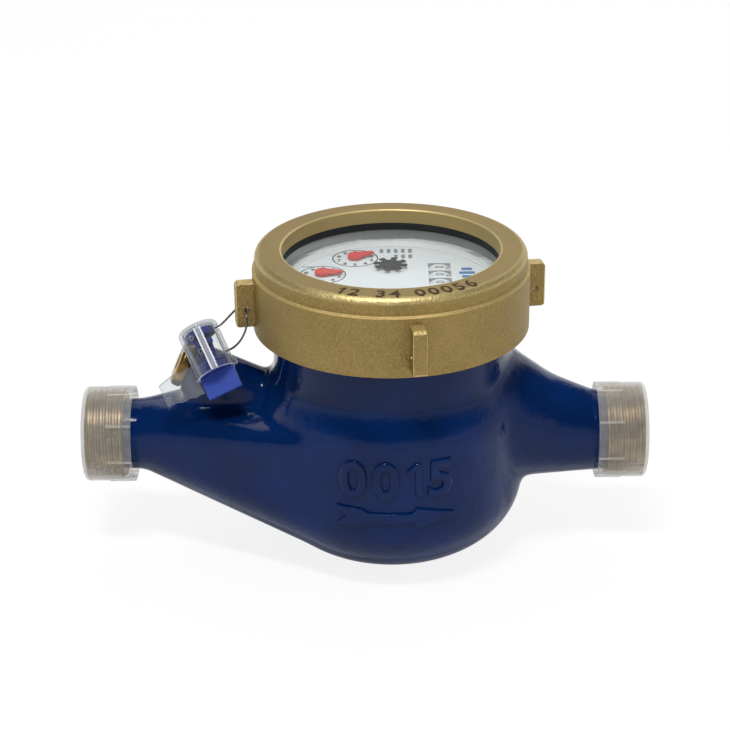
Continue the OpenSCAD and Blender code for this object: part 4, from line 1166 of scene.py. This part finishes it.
@dataclass
class Register:
    """Dial, counters and print under the window. Sizes are in millimetres and degrees."""

    sub_dial_r: float = 6.9
    line: float = 0.36
    ink: float = 0.03
    tick: float = 0.6
    tick_half: float = 0.1
    digit_h: float = 1.75
    digit_r: float = 5.1
    digit_bold: float = 0.05
    pointer_places: tuple[Point, ...] = ((-10.5, 20.3), (-20.0, 7.3), (-20.0, -7.3), (-11.0, -19.0))
    wheel_x: float = 14.4
    wheel_z: float = 76.2
    wheel_r: float = 5.2
    wheel_first_y: float = 13.4
    wheel_pitch: float = 5.9
    wheel_count: int = 5
    wheel_digit_h: float = 2.5
    rim_w: float = 0.35
    rim_play: float = 0.28
    rim_h: float = 0.2
    rim_facets: int = 160
    dial_facets: int = 64
    window_reach: float = 26.0
    ledge_play: float = 0.05
    note_first: Point = (-2.6, 26.2)
    note_step: Point = (2.15, 4.6)
    note_size: Point = (1.1, 3.0)
    note_rows: tuple[int, ...] = (1, 1, 2, 2, 2)
    unit_shift: Point = (-4.6, 6.4)
    unit_size: Point = (3.4, 0.5)
    bar_first: Point = (22.4, 11.0)
    bar_step: float = 3.0
    bar_size: Point = (4.6, 1.9)
    bar_taper: float = 1.5

    def __post_init__(self) -> None:
        """Take the places of the dial and of the window's ledge from the frame."""
        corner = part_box("dial_plate")[1] / MM
        self.dial_top = corner.z
        self.dial_r = corner.x
        self.ledge_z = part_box("glass_window")[0].z / MM

    def bar(self, x: float, y: float, width: float, depth: float) -> BMesh:
        """Printed bar on the dial, centred at a place."""
        outline = oblong(x - width / 2, y - depth / 2, x + width / 2, y + depth / 2)
        return moved(prism(outline, self.ink), shifted(0, 0, self.dial_top))

    def sub_dial(self, x: float, y: float) -> list[BMesh]:
        """Printed circle of a pointer, with ten ticks and the figures 0 to 9.

        Args:
            x: Place of its centre.
            y: Place of its centre.

        Returns:
            The printed marks.
        """
        outer = self.sub_dial_r
        section = oblong(outer - self.line, 0, outer, self.ink)
        tick = oblong(-self.tick_half, outer - self.tick, self.tick_half, outer - self.tick_half)
        here = shifted(x, y, self.dial_top)
        marks = [moved(turned(section, self.dial_facets), here)]
        for i, angle in enumerate(ring_points(DECADE)):
            turn = here @ Matrix.Rotation(-angle, 4, "Z")
            marks.append(moved(prism(tick, self.ink), turn))
            centre = Vector((math.sin(angle), math.cos(angle), 0)) * self.digit_r
            place = here @ shifted(centre.x, centre.y - self.digit_h / 2, self.ink / 2)
            marks.append(moved(figures(str(i), self.digit_h, self.ink, bold=self.digit_bold), place))
        return marks

    def in_window(self, centre: Vector, normal: Vector) -> int:
        """One for the walls of the dial's number windows, which are painted grey as shade."""
        near = abs(centre.x - self.wheel_x) < self.wheel_r
        inside = math.hypot(centre.x, centre.y) < self.window_reach
        return int(near and inside and abs(normal.z) < STEEP)

    def on_ledge(self, centre: Vector, normal: Vector) -> int:
        """One for the bowl's ledge, which carries the window and is painted a darker grey as shade."""
        return int(normal.z > LEVEL and abs(centre.z - self.ledge_z) < self.ledge_play)

    def build_rim(self) -> None:
        """Make the thin bead that closes the joint between the dial and its bowl."""
        low, high = self.dial_r - self.rim_w, self.dial_r + self.rim_play
        outline = oblong(low, 0, high, self.rim_h)
        bead = moved(soften(turned(outline, self.rim_facets), self.rim_h / 3), shifted(0, 0, self.dial_top))
        piece("dial_rim", bead, BOWL_PLASTIC)

    def build_print(self) -> None:
        """Make the dial's print."""
        black = [mark for x, y in self.pointer_places for mark in self.sub_dial(x, y)]
        piece("dial_scales", gathered(black), BLACK_INK, smooth_to=CRISP)
        grey = []
        (first_x, first_y), (step_x, step_y) = self.note_first, self.note_step
        for column, rows in enumerate(self.note_rows):
            for row in range(rows):
                grey.append(self.bar(first_x + column * step_x, first_y - row * step_y, *self.note_size))
        for x, y in self.pointer_places:
            grey.append(self.bar(x + self.unit_shift[0], y + self.unit_shift[1], *self.unit_size))
        piece("dial_notes", gathered(grey), GREY_INK, smooth_to=CRISP)
        (bar_x, bar_y), (length, thick) = self.bar_first, self.bar_size
        lengths = [length - abs(row - 1) * self.bar_taper for row in range(3)]
        blue = [self.bar(bar_x, bar_y - row * self.bar_step, size, thick) for row, size in enumerate(lengths)]
        piece("dial_bars", gathered(blue), BLUE_INK, smooth_to=CRISP)

    def build_wheel_figures(self, index: int) -> None:
        """Make the figures round one number wheel."""
        y = self.wheel_first_y - index * self.wheel_pitch
        parts = []
        for i, angle in enumerate(ring_points(DECADE)):
            flat = figures(str(i), self.wheel_digit_h, self.ink)
            moved(flat, shifted(0, -self.wheel_digit_h / 2, self.ink / 2))
            for vert in flat.verts:
                bend = angle + vert.co.y / (self.wheel_r * MM)
                reach = self.wheel_r * MM + vert.co.z
                vert.co = Vector((-math.sin(bend) * reach, vert.co.x, math.cos(bend) * reach))
            parts.append(moved(flat, shifted(self.wheel_x, y, self.wheel_z)))
        number = index + 1
        piece(f"wheel_figures_{number}", gathered(parts), BLACK_INK, f"number_{number}", smooth_to=CRISP)

    def build(self) -> None:
        """Dress the register's visible parts and print the dial."""
        refined("window_seal", "glass_gasket", BLACK_RUBBER, edge=0.35)
        # The ledge takes the darker grey of painted shade.
        bowl = marked(rounded("register_cup", 0.0), self.on_ledge)
        piece("register_bowl", bowl, BOWL_PLASTIC, replaced=["register_cup"], more=[BOWL_LEDGE_SHADE])
        self.build_rim()
        # The window walls take the grey of painted shade.
        dial = marked(rounded("dial_plate", 0.0), self.in_window)
        piece("dial", dial, WHITE_PLASTIC, replaced=["dial_plate"], more=[WINDOW_WALL_SHADE])
        refined("flow_star", "star_wheel", DARK_PLASTIC, "star", edge=0.12)
        for i in range(1, len(self.pointer_places) + 1):
            refined(f"red_pointer_{i}", f"pointer_{i}", RED_PLASTIC, f"pointer_{i}", edge=0.1)
        for i in range(1, self.wheel_count + 1):
            refined(f"counter_{i}", f"number_wheel_{i}", WHITE_PLASTIC, f"number_{i}")
        self.build_print()
        for i in range(self.wheel_count):
            self.build_wheel_figures(i)


@dataclass
class TamperSeal:
    """Clear seal with its blue rotor and its wire. Sizes are in millimetres and degrees."""

    round_boss: float = 41.7
    off_axis: float = 14.3
    along: float = 2.6
    skew: float = 47.1
    spin: float = 62.6
    housing_r: float = 6.0
    housing_play: float = 0.3
    housing_edge: float = 0.12
    mouth: float = -7.0
    mouth_slope: float = -0.8
    mouth_play: float = 0.4
    rotor_edge: float = 0.25
    rotor_play: float = 0.2
    rib_len: float = 13.2
    rib_w: float = 0.45
    rib_h: float = 0.15
    rib_gap: float = 0.1
    rib_turns: Point = (-92.0, -76.0)
    side_turns: Point = (-134.0, -35.0)
    gleam_w: float = 1.2
    flag_root: float = 5.6
    flag_reach: float = 17.0
    flag_waves: int = 3
    flag_calm: float = 0.5
    flag_clear: float = 0.5
    core_r: float = 2.4
    block: Triple = (1.6, 1.9, 1.7)
    block_sink: float = 0.4
    block_round: float = 0.2
    block_places: tuple[Point, ...] = ((-58.0, 4.2), (-52.0, 1.0), (-112.0, 1.2))
    eye_r: float = 0.85
    eye_gap: float = 0.9
    eye_round: float = 0.1
    eye_facets: int = 32
    eye_places: tuple[Point, ...] = ((-115.0, 4.4), (-103.0, -0.4))

    def matrix(self) -> Matrix:
        """Frame of the seal, with its Z towards the closed end."""
        beside = Regulator().boss_frame() @ spun(-self.round_boss) @ shifted(self.off_axis, 0, -self.along)
        return beside @ spun(-self.skew, "X") @ spun(self.spin)

    def at(self, turn: float, reach: float, z: float) -> Matrix:
        """Frame at a turn round the seal's axis, this far out from it and along it."""
        return self.matrix() @ spun(turn) @ shifted(reach, 0, z)

    def zone(self, centre: Vector, normal: Vector) -> int:
        """Material of a face in the seal's own frame: 0 body, 1 flag edge in grey painted shade, 2 mouth in
        white painted highlight, 3 flag.
        """
        if math.hypot(centre.x, centre.y) > self.housing_r + self.housing_play:
            return 3 if abs(normal.y) > STEEP else 1
        at_mouth = abs(centre.z - self.mouth) < self.mouth_play
        return 2 if at_mouth and normal.z < self.mouth_slope else 0

    def build_housing(self) -> None:
        """Dress the clear housing, with painted highlight on its mouth and grey painted shade on its flag's
        edges.
        """
        bm = moved(rounded("seal_housing", self.housing_edge), self.matrix().inverted())
        self.calm_flag(bm)
        # The flag's edges take grey painted shade, and the mouth white painted highlight.
        moved(marked(bm, self.zone), self.matrix())
        more = [PLASTIC_SHADE, PLASTIC_HIGHLIGHT, FLAG_PLASTIC]
        piece("clear_housing", bm, CLEAR_PLASTIC, replaced=["seal_housing"], more=more)

    def calm_flag(self, bm: BMesh) -> None:
        """Make the waves along the flag's lower edge shallower, in the seal's own frame."""
        for vert in bm.verts:
            out = -vert.co.x / MM - self.flag_root
            if out > self.flag_clear and vert.co.z < self.mouth * MM:
                wave = math.sin(math.tau * self.flag_waves * out / (self.flag_reach - self.flag_root))
                vert.co.z -= self.flag_calm * wave * MM

    def strip(self, turn: float, width: float, proud: float) -> BMesh:
        """Thin strip along the housing, standing proud of it at this turn."""
        section = oblong(self.housing_r - 2 * self.rib_h, -width / 2, self.housing_r + proud, width / 2)
        strip = soften(prism(section, self.rib_len), proud / 2)
        return moved(strip, self.at(turn, 0, self.mouth + self.rib_gap))

    def build_ribs(self) -> None:
        """Make the ribs along the housing, the middle pair white as painted highlight and the side ones grey
        as painted shade, with the gleam, a painted highlight strip, between the middle pair.
        """
        middle = [self.strip(turn, self.rib_w, self.rib_h) for turn in self.rib_turns]
        piece("seal_ribs", gathered(middle), PLASTIC_HIGHLIGHT)
        sides = [self.strip(turn, self.rib_w / 2, self.rib_h) for turn in self.side_turns]
        piece("seal_side_ribs", gathered(sides), PLASTIC_SHADE)
        between = sum(self.rib_turns) / len(self.rib_turns)
        piece("seal_gleam", self.strip(between, self.gleam_w, self.rib_h / 2), GLEAM)

    def build_rotor(self) -> None:
        """Dress the rotor, darker blue as painted shade inside the housing, with its blocks in that darker
        blue and its eyelets.
        """
        back = self.matrix().inverted()

        def inside(centre: Vector, _: Vector) -> int:
            """One for the faces inside the housing, which take the painted shade."""
            return int((back @ (centre * MM)).z > (self.mouth - self.rotor_play) * MM)

        bm = marked(rounded("seal_rotor", self.rotor_edge), inside)
        piece("blue_rotor", bm, BLUE_PLASTIC, replaced=["seal_rotor"], more=[ROTOR_SHADE_BLUE])
        reach, width, height = self.block
        section = oblong(self.core_r - self.block_sink, -width / 2, self.core_r + reach, width / 2)
        # The blocks take the darker blue of painted shade.
        blocks = []
        for turn, z in self.block_places:
            block = soften(prism(section, height), self.block_round)
            blocks.append(moved(block, self.at(turn, 0, z)))
        piece("seal_blocks", gathered(blocks), ROTOR_SHADE_BLUE)
        tube = oblong(self.eye_r / 2, 0, self.eye_r, reach)
        eyes = []
        for turn, z in self.eye_places:
            eye = soften(turned(tube, self.eye_facets), self.eye_round)
            eyes.append(moved(eye, self.at(turn, self.core_r + self.eye_gap, z) @ spun(90, "Y")))
        piece("seal_eyelets", gathered(eyes), STEEL)

    def build(self) -> None:
        """Dress the whole seal and its wire."""
        self.build_housing()
        self.build_ribs()
        self.build_rotor()
        refined("steel_wire", "seal_wire", WIRE)


@dataclass
class EndCap:
    """Milky protective cap of one pipe end. Sizes are in millimetres."""

    flow: Flow
    edge: float = 0.06
    end_t: float = 1.2
    band_r: float = 14.25
    rib_play: float = 0.03
    mouth_play: float = 0.1

    def __post_init__(self) -> None:
        """Take the cap's ends from the frame."""
        self.node = f"{self.flow.name.lower()}_cap"
        self.near, self.far = sorted((corner.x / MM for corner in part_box(self.node)), key=abs)

    def zone(self, centre: Vector, _: Vector) -> int:
        """Material of a face: 0 wall, 1 end, 2 rib or mouth."""
        if abs(centre.x - self.far) < self.end_t:
            return 1
        reach = math.hypot(centre.y, centre.z - Casting.pipe_z)
        at_mouth = abs(centre.x - self.near) < self.mouth_play
        return 2 if at_mouth or reach > self.band_r + self.rib_play else 0

    def build(self) -> None:
        """Dress the cap, whiter at its end, its ribs and its mouth."""
        bm = marked(rounded(self.node, self.edge), self.zone)
        piece(f"milky_{self.node}", bm, MILKY_PLASTIC, self.node, [self.node], more=[CAP_END, CAP_RIB])


@dataclass
class InnerWorks:
    """Finishes of the pieces inside the meter, which keep their construction shape."""

    finishes: tuple[tuple[Finish, tuple[str, ...]], ...] = (
        (WINDOW, ("glass_window",)),
        (WHITE_PLASTIC, ("bridge_plate", "impeller")),
        (GREY_PLASTIC, ("pressure_plate",)),
        (IVORY_PLASTIC, ("chamber_cup", "chamber_cover")),
        (BLACK_RUBBER, ("body_o_ring", "chamber_gasket", "regulator_o_ring")),
        (STEEL, ("magnetic_shield", "strainer", "pivot_pin", "wheel_shaft")),
        (BRIGHT_BRASS, ("regulator_screw",)),
        (JEWEL, ("impeller_bearing",)),
        (MAGNET, ("drive_magnet", "driven_magnet")),
    )
    gears: tuple[str, ...] = ("arbor", "gear")

    def build(self) -> None:
        """Give every construction node that keeps its shape its finish."""
        named = {node: finish for finish, nodes in self.finishes for node in nodes}
        for node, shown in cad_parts.items():
            is_gear = any(word in node for word in self.gears)
            finish = named.get(node, GEAR_PLASTIC if is_gear else None)
            if finish is None:
                continue
            shown.data.materials.clear()
            shown.data.materials.append(dress(finish))
            log.info("%s: finish %s", node, finish.name)


@dataclass
class Studio:
    """Camera, floor and soft light. Places are in millimetres, angles in degrees."""

    target: Triple = (-7.8, 0.0, 55.74)
    distance: float = 590.7
    elevation: float = 24.26
    yaw: float = -0.3
    roll: float = -0.62
    focal_px: float = 2000.0
    picture_px: float = 730.0
    sensor: float = 36.0
    sight: float = 20.0
    floor_half: float = 4.0
    floor_drop: float = 0.2
    floor_tint: Colour = (0.9, 0.9, 0.9)
    floor_share: float = 0.86
    floor_gloss: float = 0.15
    ambient: float = 0.45
    ceiling: float = 0.05
    horizon: Point = (0.08, 0.4)

    def build_camera(self) -> None:
        """Set up the camera at the photograph's angle."""
        data = bpy.data.cameras.new("camera")
        data.sensor_width = self.sensor
        data.lens = self.sensor * self.focal_px / self.picture_px
        data.clip_end = self.sight
        camera = linked("camera", data)
        turn = spun(-self.yaw) @ spun(90 - self.elevation, "X") @ spun(self.roll)
        back = Matrix.Translation((0, 0, self.distance * MM))
        camera.matrix_world = shifted(*self.target) @ turn @ back
        bpy.context.scene.camera = camera

    def ray(self, net: Net, kind: str) -> Sock:
        """One for rays of this kind: Camera, Glossy or Transmission."""
        return net.node("ShaderNodeLightPath", out=f"Is {kind} Ray")

    def seen(self, net: Net, gloss: float = 1.0) -> Sock:
        """One for rays from the camera or through clear surfaces, and this much for glossy ones."""
        camera, glossy, clear = (self.ray(net, name) for name in ("Camera", "Glossy", "Transmission"))
        return camera.most(clear).most(glossy * gloss)

    def build_floor(self) -> None:
        """Lay the pale floor, which keeps the shadow."""
        bm = bmesh.new()
        bmesh.ops.create_grid(bm, x_segments=1, y_segments=1, size=self.floor_half)
        floor = linked("floor", meshed(bm, "floor"))
        net = Net(bpy.data.materials.new("pale_floor"))
        matt = net.node("ShaderNodeBsdfDiffuse", sockets={"Color": self.floor_tint})
        white = net.node("ShaderNodeEmission", sockets={"Color": (1, 1, 1), "Strength": 1.0})
        share = self.seen(net, self.floor_gloss) * self.floor_share
        floor.data.materials.append(net.done(net.mixed(share, matt, white)))
        floor.location.z = -self.floor_drop * MM

    def build_world(self) -> None:
        """Make the world white where it is seen and an even fill elsewhere."""
        net = Net(bpy.data.worlds.new("studio"))
        outwards = net.node("ShaderNodeTexCoord", out="Generated")
        height = net.node("ShaderNodeSeparateXYZ", sockets={0: outwards}, out="Z")
        backdrop = self.ray(net, "Camera").most(self.seen(net) * (1 - height.ramp(*self.horizon)))
        fill = self.ambient - self.ray(net, "Glossy") * (self.ambient - self.ceiling)
        strength = backdrop * (1 - fill) + fill
        light = net.node("ShaderNodeBackground", sockets={"Color": (1, 1, 1), "Strength": strength})
        bpy.context.scene.world = net.done(light, "ShaderNodeOutputWorld")

    def lamp(self, name: str, place: Triple, size: Point, watts: float, mirrored: bool = True) -> None:
        """Hang a soft lamp that faces the object.

        Args:
            name: Name of the lamp.
            place: Its place, in metres.
            size: Its width and depth, in metres.
            watts: Its power.
            mirrored: Whether glossy surfaces show it.
        """
        data = bpy.data.lights.new(name, "AREA")
        data.shape = "RECTANGLE"
        data.size, data.size_y = size
        data.energy = watts
        made = linked(name, data)
        made.visible_glossy = mirrored
        aim = Vector(self.target) * MM - Vector(place)
        made.matrix_world = Matrix.Translation(place) @ aim.to_track_quat("-Z", "Y").to_matrix().to_4x4()

    def build(self) -> None:
        """Set up the whole studio."""
        bpy.context.scene.view_settings.view_transform = "Standard"
        self.build_camera()
        self.build_floor()
        self.build_world()
        self.lamp("key", (-0.16, -0.5, 1.3), (0.5, 0.12), 13.0)
        self.lamp("fill", (1.3, -0.4, 0.7), (1.4, 1.4), 5.0, mirrored=False)
        self.lamp("back", (0.1, 0.9, 0.9), (1.0, 1.0), 4.0)


def main() -> None:
    """Build the studio and dress every part of the meter."""
    logging.basicConfig(level=logging.INFO, format="%(name)s %(message)s")
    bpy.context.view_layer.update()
    Studio().build()
    InnerWorks().build()
    parts = [Casting(), Regulator(), RetainingRing(), Register(), TamperSeal()]
    parts += [EndCap(flow) for flow in Flow]
    for part in parts:
        part.build()


if __name__ == "__main__":
    main()
